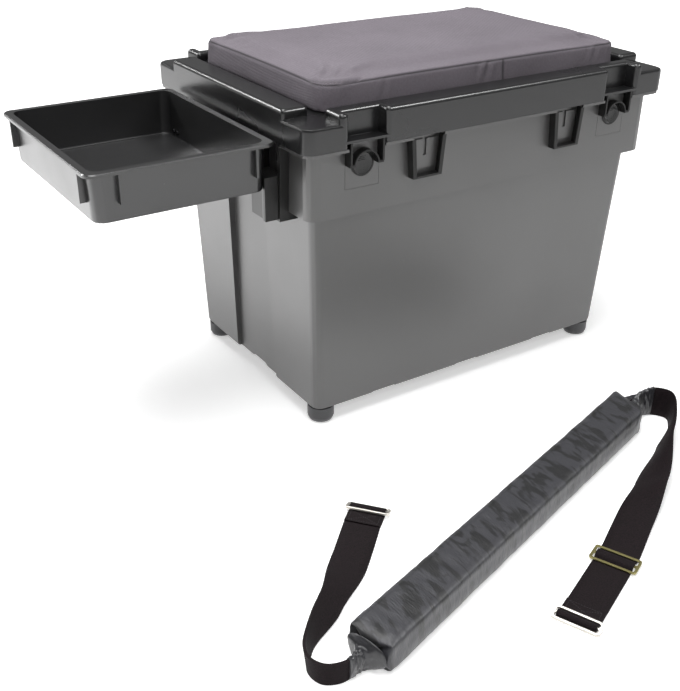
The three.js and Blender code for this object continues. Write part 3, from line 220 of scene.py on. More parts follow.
def welded_copy(node, name):
    """A copy of one of the solids, made whole."""
    piece = new_piece(name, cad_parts[node].data.copy())
    made_whole(piece)
    return piece


def eased_copy(node, name, body, edge, material, rims=(), crisp=smooth_turn):
    """A copy of one of the solids with its sharp edges rounded off. It takes the place of that solid, and of
    the rims that are one with it in the real moulding."""
    piece = welded_copy(node, name)
    for rim in rims:
        band = welded_copy(rim, rim)
        lowest = min(v.co.z for v in band.data.vertices)
        for vertex in band.data.vertices:
            if vertex.co.z < lowest + rim_reach:
                vertex.co.z -= rim_reach
        fused = piece.modifiers.new("Rim", "BOOLEAN")
        fused.operation = "UNION"
        fused.solver = "EXACT"
        fused.object = band
        apply_last(piece)
        bpy.data.objects.remove(band)
    if rims:
        made_whole(piece)
    if edge:
        bevel = piece.modifiers.new("Eased edges", "BEVEL")
        bevel.width = edge
        bevel.segments = edge_steps
        bevel.limit_method = "ANGLE"
        bevel.angle_limit = smooth_turn
        apply_last(piece)
    bpy.ops.object.shade_smooth_by_angle(angle=crisp)
    even = piece.modifiers.new("Flat faces stay flat", "WEIGHTED_NORMAL")
    even.keep_sharp = True
    even.weight = 100
    apply_last(piece)
    piece.data.materials.clear()
    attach(piece, body)
    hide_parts(node, *rims)
    piece.data.materials.append(material)
    return piece


def new_group(name, values_in, names_out):
    """A shader group for numbers: its tree, what comes into it, and the node that takes what goes out."""
    group = bpy.data.node_groups.new(name, "ShaderNodeTree")
    for socket, value in values_in.items():
        made = group.interface.new_socket(socket, in_out="INPUT", socket_type="NodeSocketFloat")
        made.default_value = value
    for socket in names_out:
        group.interface.new_socket(socket, in_out="OUTPUT", socket_type="NodeSocketFloat")
    return group, add_node(group, "NodeGroupInput").outputs, add_node(group, "NodeGroupOutput")


# Moulded grain: a fine pitted height, slow drifts of tone and shine, and a few specks of dust
mould_grain, ends_in, ends_out = new_group(
    "Moulded grain",
    {"Grain per metre": 900, "Drift": 0.08, "Roughness": 0.4, "Dust": 0.1},
    ("Tone", "Roughness", "Height", "Dust"),
)
shine_drift = 0.22
place = add_node(mould_grain, "ShaderNodeTexCoord").outputs["Object"]
pits = {"Vector": place, "Scale": ends_in["Grain per metre"], "Detail": 3}
fine = add_node(mould_grain, "ShaderNodeTexNoise", pits)
slow = add_node(mould_grain, "ShaderNodeTexNoise", {"Vector": place, "Scale": 7, "Detail": 4})
swing = maths(mould_grain, "SUBTRACT", slow.outputs["Fac"], 0.5)
specks = add_node(mould_grain, "ShaderNodeTexVoronoi", {"Vector": place, "Scale": 55}, feature="F1")
speck_size = {"Value": specks.outputs["Distance"], "From Min": 0.035, "From Max": 0.015}
near = add_node(mould_grain, "ShaderNodeMapRange", speck_size)
wire(mould_grain, ends_out, {
    "Tone": maths(mould_grain, "MULTIPLY_ADD", swing, ends_in["Drift"], 1),
    "Roughness": maths(mould_grain, "MULTIPLY_ADD", swing, shine_drift, ends_in["Roughness"]),
    "Height": fine.outputs["Fac"],
    "Dust": maths(mould_grain, "MULTIPLY", near.outputs["Result"], ends_in["Dust"]),
})
grain_strength = 0.35
dust_colour = (0.6, 0.6, 0.6, 1)


def moulded_plastic(name, colour, roughness, grain_per_metre, grain_depth, specular=0.5):
    """Moulded plastic of one colour: grain in its height, drifts of tone and shine, dust specks."""
    material, tree, shader = new_material(name)
    grain = add_node(tree, "ShaderNodeGroup", {
        "Grain per metre": grain_per_metre, "Drift": 0.1, "Roughness": roughness, "Dust": 0.12,
    }, node_tree=mould_grain)
    toned = blend(tree, 1, (*colour, 1), grain.outputs["Tone"], blend_type="MULTIPLY")
    wire(tree, shader, {
        "Base Color": blend(tree, grain.outputs["Dust"], toned, dust_colour),
        "Roughness": grain.outputs["Roughness"],
        "Specular IOR Level": specular,
        "Normal": bumped(tree, grain.outputs["Height"], grain_strength, grain_depth),
    })
    return material


box_plastic = moulded_plastic(
    "box_plastic", (0.05, 0.0492, 0.0486), roughness=0.42, grain_per_metre=1400, grain_depth=0.00012,
    specular=1)
eased_copy("bin_shell", "bin_moulding", "bin", bin_edge, box_plastic,
           rims=("collar_rim", "collar_rim_front"), crisp=bin_turn)

# Accessory sockets
# Six tapered pockets stand on the collar, in a darker plastic: two in front and two on each short side.
fitting_edge = 0.0004
fitting_plastic = moulded_plastic(
    "fitting_plastic", (0.012, 0.0118, 0.0116), roughness=0.4, grain_per_metre=1400, grain_depth=0.00008,
    specular=0.28)
for place in ("front_left", "front_right", "left_front", "left_rear", "right_front", "right_rear"):
    eased_copy(f"socket_{place}", f"socket_{place}_moulding", "bin", fitting_edge,
               fitting_plastic)

# Feet
# Four turned feet of plain dark plastic, pushed into the floor of the bin by a spigot.
foot_plastic = moulded_plastic(
    "foot_plastic", (0.06, 0.06, 0.063), roughness=0.55, grain_per_metre=700, grain_depth=0.00015)
for corner in ("front_left", "front_right", "rear_left", "rear_right"):
    eased_copy(f"foot_{corner}", f"foot_{corner}_turned", "bin", 0, foot_plastic)

# Latches
# Each latch is a moulded housing with side walls and a half-round hood, on a plate of the bin's own colour.
# Its button is a smoother, dished cap, held by a clip washer and pushed out by a coil spring.
plate_face = 0.0288
button_plastic = moulded_plastic(
    "button_plastic", (0.006, 0.006, 0.006), roughness=0.2, grain_per_metre=500, grain_depth=0.00003,
    specular=0.4)
for side in ("left", "right"):
    housing = eased_copy(f"latch_housing_{side}", f"latch_{side}_housing", "bin", fitting_edge,
                         fitting_plastic)
    housing.data.materials.append(box_plastic)
    for face in housing.data.polygons:
        if face.normal.y < -0.9 and abs(face.center.y - plate_face) < fitting_edge:
            face.material_index = 1
    eased_copy(f"latch_button_{side}", f"latch_{side}_button", f"button_{side}", 0,
               button_plastic)

# Lid
# The lid is a second moulding in a smoother, darker plastic. Rounded rails stand round the cushion, and they
# step back over the latches so that a thumb can reach the buttons.
lid_edge = 0.0007
lid_plastic = moulded_plastic(
    "lid_plastic", (0.007, 0.007, 0.0075), roughness=0.29, grain_per_metre=1100, grain_depth=0.00004,
    specular=0.55)
eased_copy("lid_shell", "lid_moulding", "lid", lid_edge, lid_plastic)

# Side tray
# A thin-walled tray with a turned-down rim and short ribs, hung on the left sockets by two moulded brackets.
tray_edge = 0.0005
tray_plastic = moulded_plastic(
    "tray_plastic", (0.006, 0.006, 0.0065), roughness=0.33, grain_per_metre=1100, grain_depth=0.00004,
    specular=0.88)
eased_copy("side_tray", "tray_moulding", "tray", tray_edge, tray_plastic)
for end in ("front", "rear"):
    eased_copy(f"tray_bracket_{end}", f"tray_hanger_{end}", "tray", fitting_edge,
               fitting_plastic)

# Seat cushion
# A foam slab in a sewn cover of coarse woven fabric: a crowned top panel and a band round the sides, joined
# by a seam along the shoulder. The band has an upright seam in front, where its ends meet, and puckers there.
cushion_middle = Vector((0.11375, 0.208813))
cushion_half = Vector((0.2355, 0.1505))
cushion_low = 0.4046
cushion_shoulder = 0.4372
cushion_corner = 0.026
corner_steps = 8
cushion_swell = 0.009
cushion_pressure = 5
cushion_held = cushion_low + 0.004
pocket_half = Vector((0.2305, 0.1455))
pocket_corner = 0.021
pocket_top = 0.4107
cover_voxel = 0.005
cover_frames = 20
drawn_in = 0.15


def voxel_skin(piece, voxel):
    """An even skin of small faces over a closed form."""
    only(piece)
    piece.data.remesh_voxel_size = voxel
    bpy.ops.object.voxel_remesh()


def swollen(piece, pressure, swell, held_below):
    """Blow the skin up like a filled cover, held along its underside. The filling keeps its corners out, so a
    point moves in only a little, and out no further than swell."""
    start = [(v.co.copy(), v.normal.copy()) for v in piece.data.vertices]
    held = piece.vertex_groups.new(name="held")
    held.add([v.index for v in piece.data.vertices if v.co.z < held_below], 1, "REPLACE")
    cloth = piece.modifiers.new("Filling", "CLOTH")
    cloth.settings.quality = 5
    cloth.settings.mass = 0.2
    cloth.settings.tension_stiffness = 12
    cloth.settings.compression_stiffness = 12
    cloth.settings.bending_stiffness = 0.6
    cloth.settings.use_pressure = True
    cloth.settings.uniform_pressure_force = pressure
    cloth.settings.vertex_group_mass = held.name
    cloth.settings.effector_weights.gravity = 0
    for step in range(1, cover_frames + 1):
        bpy.context.scene.frame_set(step)
    apply_last(piece)
    bpy.context.scene.frame_set(1)
    piece.vertex_groups.clear()
    for vertex, (rest, normal) in zip(piece.data.vertices, start):
        move = vertex.co - rest
        if move.dot(normal) < 0:
            move *= drawn_in
        if move.length > swell:
            move *= swell / move.length
        vertex.co = rest + move


def refined(piece):
    """One subdivision of the skin, applied."""
    finer = piece.modifiers.new("Finer skin", "SUBSURF")
    finer.levels = 1
    apply_last(piece)
    bpy.ops.object.shade_smooth()


def settled(piece):
    """Finish a modelled piece: its origin at the world's, its normals outwards."""
    only(piece)
    bpy.ops.object.transform_apply(location=True, rotation=True, scale=True)
    bpy.ops.object.mode_set(mode="EDIT")
    bpy.ops.mesh.select_all(action="SELECT")
    bpy.ops.mesh.normals_make_consistent(inside=False)
    bpy.ops.object.mode_set(mode="OBJECT")


def hump(distance, width):
    """A smooth hump that is 1 at no distance and fades out over a few widths."""
    return math.exp(-(distance / width) ** 2)


def smooth_between(value, low, high):
    """A smooth step from 0 at low to 1 at high."""
    share = min(1, max(0, (value - low) / (high - low)))
    return share * share * (3 - 2 * share)


bpy.ops.mesh.primitive_cube_add(size=1)
cushion = bpy.context.object
cushion.name = "seat_cushion_cover"
cushion.scale = (2 * cushion_half.x, 2 * cushion_half.y, cushion_shoulder - cushion_low)
cushion.location = (*cushion_middle, (cushion_low + cushion_shoulder) / 2)
settled(cushion)
bpy.ops.object.mode_set(mode="EDIT")
bpy.ops.mesh.select_all(action="DESELECT")
bpy.ops.mesh.select_mode(type="EDGE")
bpy.ops.object.mode_set(mode="OBJECT")
for edge in cushion.data.edges:
    ends = [cushion.data.vertices[i].co for i in edge.vertices]
    edge.select = abs(ends[0].z - ends[1].z) > (cushion_shoulder - cushion_low) / 2
bpy.ops.object.mode_set(mode="EDIT")
bpy.ops.mesh.bevel(offset=cushion_corner, segments=corner_steps, affect="EDGES")
bpy.ops.object.mode_set(mode="OBJECT")
voxel_skin(cushion, cover_voxel)
swollen(cushion, cushion_pressure, cushion_swell, cushion_held)
refined(cushion)

seam_level = 0.4352
seam_width = 0.0016
seam_depth = 0.0016
seam_turn_low, seam_turn_high = 0.82, 0.97
side_pull = 0.0035
side_start = Vector((0.75, 0.65))
streak_height = 0.0011
lump_height = 0.0005
front_seam_x = cushion_middle.x + 0.034
front_seam_low, front_seam_high = 0.406, 0.41
front_seam_share = 0.8
puckers = [
    (cushion_middle.x + 0.004, 0.0035),
    (cushion_middle.x + 0.186, 0.002),
    (cushion_middle.x - 0.15, 0.0012),
]
pucker_width = 0.013
pucker_pitch = 0.017
pucker_lean = 0.35
pucker_share = 0.55
corner_fold = cushion_middle + Vector((-0.196, -0.112))
fold_right = corner_fold.x + 0.028
fold_back = corner_fold.y + 0.008
fold_fade = 0.02
fold_radius = 0.0345
fold_rise = 0.0016
fold_rise_inside = 0.006
fold_rise_width = 0.004
fold_dip = 0.002
fold_dip_width = 0.0022
# the painted shade along the fold's dip: how dark it is, and how wide
fold_painted_shade = 0.7
fold_painted_shade_width = 0.0018
seam_and_fold_shade_layer = cushion.data.attributes.new("seam_and_fold_shade", "FLOAT", "POINT")
normals = [v.normal.copy() for v in cushion.data.vertices]
for vertex, normal in zip(cushion.data.vertices, normals):
    place = vertex.co
    off = place.xy - cushion_middle
    share = Vector((min(1, abs(off.x) / cushion_half.x), min(1, abs(off.y) / cushion_half.y)))
    side_x = smooth_between(share.x, side_start.x, 1) * (1 - share.y ** 2)
    side_y = smooth_between(share.y, side_start.y, 1) * (1 - share.x ** 2)
    place.x -= math.copysign(side_pull * side_x, off.x)
    place.y -= math.copysign(side_pull * side_y, off.y)

    # broad soft waves in the top panel, and small unevenness everywhere
    streak = noise.noise(Vector((off.x * 5 + off.y * 3, off.y * 17, 3.1)))
    lump = noise.noise(Vector((off.x * 22, off.y * 26, place.z * 40 + 7)))
    place += normal * (streak_height * streak * max(0, normal.z) + lump_height * lump)

    # the seam round the shoulder, the upright seam, and the puckers that hang from the shoulder seam
    sideways = 1 - smooth_between(normal.z, seam_turn_low, seam_turn_high)
    mark = hump(place.z - seam_level, seam_width) * sideways
    if normal.y < -0.5:
        upright = hump(place.x - front_seam_x, seam_width)
        upright *= smooth_between(place.z, front_seam_low, front_seam_high)
        mark = max(mark, front_seam_share * upright)
        for pucker_x, depth in puckers:
            away = place.x - pucker_x
            drop = hump(away, pucker_width) * smooth_between(place.z, cushion_low, seam_level)
            slant = away + pucker_lean * (seam_level - place.z)
            wave = math.cos(slant * 2 * math.pi / pucker_pitch)
            place += normal * depth * drop * wave * pucker_share

    # the curved fold in the near left corner of the top panel, with painted shade darkening the bottom of its
    # dip
    if normal.z > 0.3:
        arc = smooth_between(fold_right - place.x, 0, fold_fade)
        arc *= smooth_between(fold_back - place.y, 0, fold_fade)
        ring_off = (place.xy - corner_fold).length - fold_radius
        place.z += arc * fold_rise * hump(ring_off + fold_rise_inside, fold_rise_width)
        place.z -= arc * fold_dip * hump(ring_off, fold_dip_width)
        # painted shade: the dip of the fold is darkened like a seam
        mark = max(mark, fold_painted_shade * arc * hump(ring_off, fold_painted_shade_width))
    place -= normal * seam_depth * mark
    seam_and_fold_shade_layer.data[vertex.index].value = mark

    # the hollow underneath, where the board lies
    past_x = max(0, abs(off.x) - pocket_half.x + pocket_corner)
    past_y = max(0, abs(off.y) - pocket_half.y + pocket_corner)
    if place.z < pocket_top and Vector((past_x, past_y)).length < pocket_corner:
        place.z = pocket_top

# The cover's cloth: a coarse two-way weave, paler where its threads stand up, with a dark line down its seams
# and the same dark colour painted as shade along the dip of the fold in its top panel
weave, ends_in, ends_out = new_group(
    "Coarse weave", {"Threads per metre": 700, "Wear": 0.3}, ("Tone", "Height"))
place = add_node(weave, "ShaderNodeTexCoord").outputs["Object"]
turned = add_node(weave, "ShaderNodeMapping", {"Vector": place, "Rotation": (0.31, 0.23, 0.12)})
threads = []
for axis in ("X", "Y", "Z"):
    thread = add_node(weave, "ShaderNodeTexWave", {
        "Vector": turned.outputs["Vector"],
        "Scale": ends_in["Threads per metre"],
        "Distortion": 0.6,
        "Detail": 1,
    }, wave_type="BANDS", bands_direction=axis)
    threads.append(thread.outputs["Fac"])
crossed = maths(weave, "MULTIPLY", threads[0], threads[1])
fuzz = add_node(weave, "ShaderNodeTexNoise", {"Vector": place, "Scale": 420, "Detail": 4})
patches = add_node(weave, "ShaderNodeTexNoise", {"Vector": place, "Scale": 9, "Detail": 3})
both = maths(weave, "ADD", fuzz.outputs["Fac"], patches.outputs["Fac"])
unworn = maths(weave, "SUBTRACT", 1, ends_in["Wear"])
wire(weave, ends_out, {
    "Tone": maths(weave, "MULTIPLY_ADD", both, ends_in["Wear"], unworn),
    "Height": maths(weave, "MAXIMUM", crossed, threads[2]),
})

cover_colour = (0.142, 0.126, 0.144, 1)
seam_and_fold_shade_colour = (0.012, 0.01, 0.012, 1)
cover_cloth, tree, shader = new_material("cover_cloth")
cloth_weave = add_node(tree, "ShaderNodeGroup", {"Threads per metre": 190, "Wear": 0.45}, node_tree=weave)
toned = blend(tree, 1, cover_colour, cloth_weave.outputs["Tone"], blend_type="MULTIPLY")
# one mask carries both the dark seam lines and the painted shade along the fold
seam_and_fold_shade_mask = add_node(tree, "ShaderNodeAttribute", attribute_name="seam_and_fold_shade")
wire(tree, shader, {
    "Base Color": blend(tree, seam_and_fold_shade_mask.outputs["Fac"], toned, seam_and_fold_shade_colour),
    "Roughness": 0.85,
    "Specular IOR Level": 0.25,
    "Sheen Weight": 0.08,
    "Sheen Tint": (0.8, 0.75, 0.85, 1),
    "Normal": bumped(tree, cloth_weave.outputs["Height"], 0.5, 0.0004),
})
cushion.data.materials.append(cover_cloth)
settled(cushion)
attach(cushion, "lid")
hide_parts("seat_cushion")

# Strap pad
# A bar of foam in a sleeve of satin cloth. The sleeve is folded in at both ends like the end of a parcel, and
# it is creased along its top and has darker patches of painted shade for its sheen. It lies on the ground.
strap_origin = Vector((0.11375, 0.208813, 0))
pad_middle = Vector((-0.1611, -0.4456, 0)) + strap_origin
pad_turn = math.radians(17.3)
pad_length = 0.54
pad_width = 0.0525
pad_height = 0.0338
pad_edge = 0.005
pad_edge_steps = 3
pad_lift = 0.0004
pad_swell = 0.0014
pad_pressure = 4
pad_held = 0.003
pad_voxel = 0.0036
crease_height = 0.0005
crinkle_height = 0.0003
end_crinkle_height = 0.0006
end_reach = 0.03
end_crease = 0.0035
end_slant = 0.028
slant_reach = 0.06
slant_lean = 0.3
flap_width = 0.22

bpy.ops.mesh.primitive_cube_add(size=1)
strap_pad = bpy.context.object
strap_pad.name = "strap_pad_sleeve"
strap_pad.scale = (pad_length, pad_width, pad_height)
strap_pad.location = (0, 0, pad_height / 2 + pad_lift)
settled(strap_pad)
bpy.ops.object.mode_set(mode="EDIT")
bpy.ops.mesh.select_all(action="SELECT")
bpy.ops.mesh.bevel(offset=pad_edge, segments=pad_edge_steps, affect="EDGES")
bpy.ops.object.mode_set(mode="OBJECT")
voxel_skin(strap_pad, pad_voxel)
swollen(strap_pad, pad_pressure, pad_swell, pad_held)
refined(strap_pad)
normals = [v.normal.copy() for v in strap_pad.data.vertices]
for vertex, normal in zip(strap_pad.data.vertices, normals):
    place = vertex.co
    along, across, high = place.x, place.y, place.z - pad_height / 2
    near_end = smooth_between(abs(along), pad_length / 2 - end_reach, pad_length / 2)

    # creases that run slantwise over the top, and finer ones, deeper near the ends
    crease = noise.noise(Vector((along * 46 + across * 30, across * 16, high * 9 + 2)))
    fine = noise.noise(Vector((along * 120, across * 70 - along * 40, high * 60 + 5)))
    place += normal * (crease_height * crease + (crinkle_height + end_crinkle_height * near_end) * fine)

    # the folded-in ends: a sunk cross between four flaps, cut off at a slant
    end_face = smooth_between(abs(normal.x), 0.5, 0.9)
    flap = abs(abs(across) / (pad_width / 2) - abs(high) / (pad_height / 2))
    place.x -= math.copysign(end_crease * end_face * hump(flap, flap_width), along)
    drawn_out = smooth_between(along, pad_length / 2 - slant_reach, pad_length / 2)
    place.x += end_slant * drawn_out * (slant_lean + across / pad_width)
    place.z = max(place.z, pad_lift)
strap_pad.data.transform(Matrix.Translation(pad_middle) @ Matrix.Rotation(pad_turn, 4, "Z"))

# Satin: smooth cloth that shines along its creases, with slantwise darker patches of painted shade for its
# sheen
painted_sheen_group, ends_in, ends_out = new_group("Satin with painted sheen patches", {"Patch size": 30, "Amount": 0.6}, ("Patch", "Height"))
patch_slant = {"Rotation": (0, 0, math.radians(24)), "Scale": (3.4, 1, 1)}
slanted = add_node(painted_sheen_group, "ShaderNodeMapping", patch_slant)
wire(painted_sheen_group, slanted, {"Vector": add_node(painted_sheen_group, "ShaderNodeTexCoord").outputs["Object"]})
blots = add_node(painted_sheen_group, "ShaderNodeTexNoise", {
    "Vector": slanted.outputs["Vector"], "Scale": ends_in["Patch size"], "Detail": 3, "Distortion": 0.8,
})
patch_edge = {"Value": blots.outputs["Fac"], "From Min": 0.49, "From Max": 0.55}
edged = add_node(painted_sheen_group, "ShaderNodeMapRange", patch_edge)
crinkles = {"Vector": slanted.outputs["Vector"], "Scale": 160, "Detail": 3}
wire(painted_sheen_group, ends_out, {
    "Patch": maths(painted_sheen_group, "MULTIPLY", edged.outputs["Result"], ends_in["Amount"]),
    "Height": add_node(painted_sheen_group, "ShaderNodeTexNoise", crinkles).outputs["Fac"],
})


def satin_cloth(name, colour, dark, roughness, amount, crinkle_depth):
    """Smooth dark cloth with fine crinkles, and darker patches of painted shade that stand for an uneven
    sheen.
    """
    material, tree, shader = new_material(name)
    sheen_patches = add_node(tree, "ShaderNodeGroup", {"Patch size": 26, "Amount": amount}, node_tree=painted_sheen_group)
    wire(tree, shader, {
        "Base Color": blend(tree, sheen_patches.outputs["Patch"], (*colour, 1), (*dark, 1)),
        "Roughness": roughness,
        "Sheen Weight": 0.15,
        "Normal": bumped(tree, sheen_patches.outputs["Height"], 0.5, crinkle_depth),
    })
    return material


# the pad's darker patches are painted shade for the satin's uneven sheen
pad_satin = satin_cloth("pad_satin", (0.028, 0.028, 0.034), (0.004, 0.004, 0.005), 0.46, 1, 0.0008)
strap_pad.data.materials.append(pad_satin)
settled(strap_pad)
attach(strap_pad, "strap")
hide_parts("strap_pad")

# Webbing
# Two lengths of flat woven webbing. Each comes out of an end of the pad on its edge, turns back, lies down
# flat and ends in a sewn loop round the middle bar of a ring. The left one is folded together where it turns,
# and the right one is threaded through the slider on its way.
web_half = 0.021
web_thin = 0.00086
web_step = 0.0009
web_gap = 0.00004
web_steps = 150
web_turn = math.radians(50)
pad_bulge = 0.0023
seam_length = 0.026
seam_steps = 8
fold_steps = 6
loop_steps = 24
loop_end = math.pi + 0.447
loop_under = 0.0045
ring_level = 0.00407
slider_high = 0.0057
slider_foot = 0.0086
slider_rise = 0.0033
slider_half = 0.0155
slider_entry = 0.01725
slider_slope = math.radians(46)
slider_steps = 40


def eased_value(values, place):
    """A value between those of a list, at a place counted in items."""
    index = min(int(place), len(values) - 2)
    share = smooth_between(place - index, 0, 1)
    return values[index] * (1 - share) + values[index + 1] * share


def curve_place(points, t):
    """A place on the smooth curve through the points, as a centripetal Catmull-Rom spline runs."""
    span = t * (len(points) - 1)
    index = min(int(span), len(points) - 2)
    share = span - index
    b, c = points[index], points[index + 1]
    a = points[index - 1] if index else 2 * b - c
    d = points[index + 2] if index + 2 < len(points) else 2 * c - b
    first, second, third = (math.sqrt((q - p).length) for p, q in ((a, b), (b, c), (c, d)))
    leave = ((b - a) / first - (c - a) / (first + second) + (c - b) / second) * second
    arrive = ((c - b) / second - (d - b) / (second + third) + (d - c) / third) * second
    square, cube = share ** 2, share ** 3
    return (b * (2 * cube - 3 * square + 1) + leave * (cube - 2 * square + share)
            + c * (3 * square - 2 * cube) + arrive * (cube - square))


def lying_run(points, headings, tilts, widths, t):
    """One station of a strip on the ground: its middle, two directions, and half its width and thickness."""
    span = t * (len(points) - 1)
    heading = math.radians(eased_value(headings, span))
    tilt = eased_value(tilts, span) * math.pi / 2
    width = eased_value(widths, span)
    along = (curve_place(points, min(1, t + 0.002)) - curve_place(points, max(0, t - 0.002))).normalized()
    wide = Vector((-math.sin(heading) * math.cos(tilt), math.cos(heading) * math.cos(tilt), math.sin(tilt)))
    wide = (wide - along * wide.dot(along)).normalized()
    thick = along.cross(wide)
    half_width, half_thin = web_half * width, web_thin / width
    middle = curve_place(points, t)
    middle.z = half_width * wide.z + (half_thin + web_gap) * abs(thick.z)
    return middle, wide, thick, half_width, half_thin


def level_run(start, heading, profile):
    """Stations of a strip that runs straight, from (distance, height, slope) along its way."""
    angle = math.radians(heading)
    forward = Vector((math.cos(angle), math.sin(angle), 0))
    wide = Vector((-math.sin(angle), math.cos(angle), 0))
    stations = []
    for distance, height, slope in profile:
        thick = Vector((0, 0, 1)) * math.cos(slope) - forward * math.sin(slope)
        middle = start + forward * distance + Vector((0, 0, height))
        stations.append((middle, wide, thick, web_half, web_thin))
    return stations


def ring_loop(ring_place, heading):
    """The sewn end: flat to the bar, round it, and back over itself."""
    turn_radius = ring_level - web_step
    profile = [(-seam_length + k * seam_length / seam_steps, web_step, 0) for k in range(seam_steps)]
    for k in range(loop_steps + 1):
        angle = -math.pi / 2 + k / loop_steps * (loop_end + math.pi / 2)
        height = ring_level + turn_radius * math.sin(angle)
        profile.append((turn_radius * math.cos(angle), height, angle + math.pi / 2))
    profile.append((-loop_under, 3 * web_step, math.pi))
    profile += [(-seam_length * k / fold_steps, 3 * web_step, math.pi) for k in range(2, fold_steps + 1)]
    return level_run(ring_place, heading, profile)


def faced_piece(name, points, faces):
    """A piece built from points and faces."""
    mesh = bpy.data.meshes.new(name)
    mesh.from_pydata(points, [], faces)
    return new_piece(name, mesh)


def strip_skin(name, stations):
    """A closed woven strip through its stations, with a UV map in metres along and across."""
    section = [(-1, -0.6), (-0.985, -1), (-0.5, -1), (0, -1), (0.5, -1), (0.985, -1), (1, -0.6),
               (1, 0.6), (0.985, 1), (0.5, 1), (0, 1), (-0.5, 1), (-0.985, 1), (-1, 0.6)]
    count = len(section)
    points, lengths = [], [0]
    for index, (middle, wide, thick, half_width, half_thin) in enumerate(stations):
        if index:
            lengths.append(lengths[-1] + (middle - stations[index - 1][0]).length)
        points += [middle + wide * (a * half_width) + thick * (b * half_thin) for a, b in section]
    faces, spots = [], []
    for row in range(len(stations) - 1):
        for k in range(count):
            after = (k + 1) % count
            ring = (row * count, (row + 1) * count)
            faces.append((ring[0] + k, ring[0] + after, ring[1] + after, ring[1] + k))
            across = (section[k][0] * web_half, section[after][0] * web_half)
            spots += [(lengths[row], across[0]), (lengths[row], across[1]),
                      (lengths[row + 1], across[1]), (lengths[row + 1], across[0])]
    for start, flip in ((0, True), ((len(stations) - 1) * count, False)):
        cap = [start + k for k in range(count)]
        faces.append(cap[::-1] if flip else cap)
        spots += [(0, 0)] * count
    strip = faced_piece(name, points, faces)
    weave_map = strip.data.uv_layers.new(name="Along the webbing")
    for loop, spot in zip(weave_map.data, spots):
        loop.uv = spot
    settled(strip)
    bpy.ops.object.shade_smooth_by_angle(angle=web_turn)
    return strip


def on_ground(places):
    """Places on the ground, from millimetres."""
    return [Vector((x / 1000, y / 1000, 0)) + strap_origin for x, y in places]


def stepped(place, heading, distance):
    """The place so far away in a heading in degrees."""
    angle = math.radians(heading)
    return place + Vector((math.cos(angle), math.sin(angle), 0)) * distance


pad_tip = Vector((pad_length / 2 + pad_bulge, 0, 0))
left_start = pad_middle + Matrix.Rotation(pad_turn, 3, "Z") @ -pad_tip
right_start = pad_middle + Matrix.Rotation(pad_turn, 3, "Z") @ pad_tip
left_ring, left_heading = on_ground([(-290, -338.5)])[0], 40
right_ring, right_heading = on_ground([(-216, -595)])[0], -156.3
slider_place = on_ground([(-115.5, -551)])[0]

left_points = [left_start, *on_ground([
    (-437, -531), (-454, -532.5), (-469, -524.5), (-473.5, -507), (-461, -486), (-412, -449), (-359, -403),
]), stepped(left_ring, left_heading, -seam_length)]
left_headings = [197.3, 195, 180, 120, 80, 52, 43, 41, left_heading]
left_tilts = [1, 1, 1, 1, 0.95, 0.85, 0.45, 0.08, 0]
left_widths = [0.5, 0.56, 0.6, 0.6, 0.58, 0.56, 0.7, 0.97, 1]
right_points = [right_start, *on_ground([
    (127, -363), (145, -370), (154, -386), (139, -406), (90, -437), (17, -482), (-39, -511),
]), stepped(slider_place, right_heading, -slider_entry)]
right_headings = [17.3, 12, -20, -90, -130, -146, -151, -154, right_heading]
right_tilts = [1, 1, 1, 1, 0.95, 0.75, 0.35, 0.06, 0]
right_widths = [0.75, 0.9, 1, 1, 1, 1, 1, 1, 1]

left_stations = [lying_run(left_points, left_headings, left_tilts, left_widths, k / web_steps)
                 for k in range(web_steps)]
left_stations += ring_loop(left_ring, left_heading)
right_stations = [lying_run(right_points, right_headings, right_tilts, right_widths, k / web_steps)
                  for k in range(web_steps)]
passage = []
for k in range(slider_steps + 1):
    distance = -slider_half + k * 2 * slider_half / slider_steps
    climb = smooth_between(slider_foot - abs(distance), 0, slider_foot - slider_rise)
    steep = math.sin(climb * math.pi) * slider_slope * (-1 if distance > 0 else 1)
    passage.append((distance, web_step + (slider_high - web_step) * climb, steep))
run_on = (right_ring - slider_place).length - seam_length - slider_half
passage += [(slider_half + run_on * k / 20, web_step, 0) for k in range(1, 20)]
right_stations += level_run(slider_place, right_heading, passage)
right_stations += ring_loop(right_ring, right_heading)

# Ribbed weave: narrow ribs along the strip crossed by fine picks, and flecks of a paler tone
ribs, ends_in, ends_out = new_group(
    "Ribbed webbing", {"Ribs per metre": 420, "Picks per metre": 620}, ("Tone", "Height"))
place = add_node(ribs, "ShaderNodeUVMap", uv_map="Along the webbing")
apart = add_node(ribs, "ShaderNodeSeparateXYZ", {0: place.outputs["UV"]})
waves = []
for axis, count in (("X", "Picks per metre"), ("Y", "Ribs per metre")):
    turns = maths(ribs, "MULTIPLY", apart.outputs[axis], ends_in[count])
    waves.append(maths(ribs, "SINE", maths(ribs, "MULTIPLY", turns, 2 * math.pi)))
crossing = maths(ribs, "MULTIPLY", *waves)
object_place = add_node(ribs, "ShaderNodeTexCoord").outputs["Object"]
flecks = add_node(ribs, "ShaderNodeTexNoise", {"Vector": object_place, "Scale": 620})
wire(ribs, ends_out, {
    "Tone": maths(ribs, "MULTIPLY_ADD", flecks.outputs["Fac"], 3.4, -0.6),
    "Height": maths(ribs, "MULTIPLY_ADD", crossing, 0.5, 0.5),
})

webbing_colour = (0.0062, 0.003, 0.004, 1)
webbing_cloth, tree, shader = new_material("webbing_cloth")
ribbed = add_node(tree, "ShaderNodeGroup", {"Ribs per metre": 420, "Picks per metre": 620}, node_tree=ribs)
wire(tree, shader, {
    "Base Color": blend(tree, 1, webbing_colour, ribbed.outputs["Tone"], blend_type="MULTIPLY"),
    "Roughness": 0.85,
    "Specular IOR Level": 0.2,
    "Normal": bumped(tree, ribbed.outputs["Height"], 0.6, 0.0003),
})

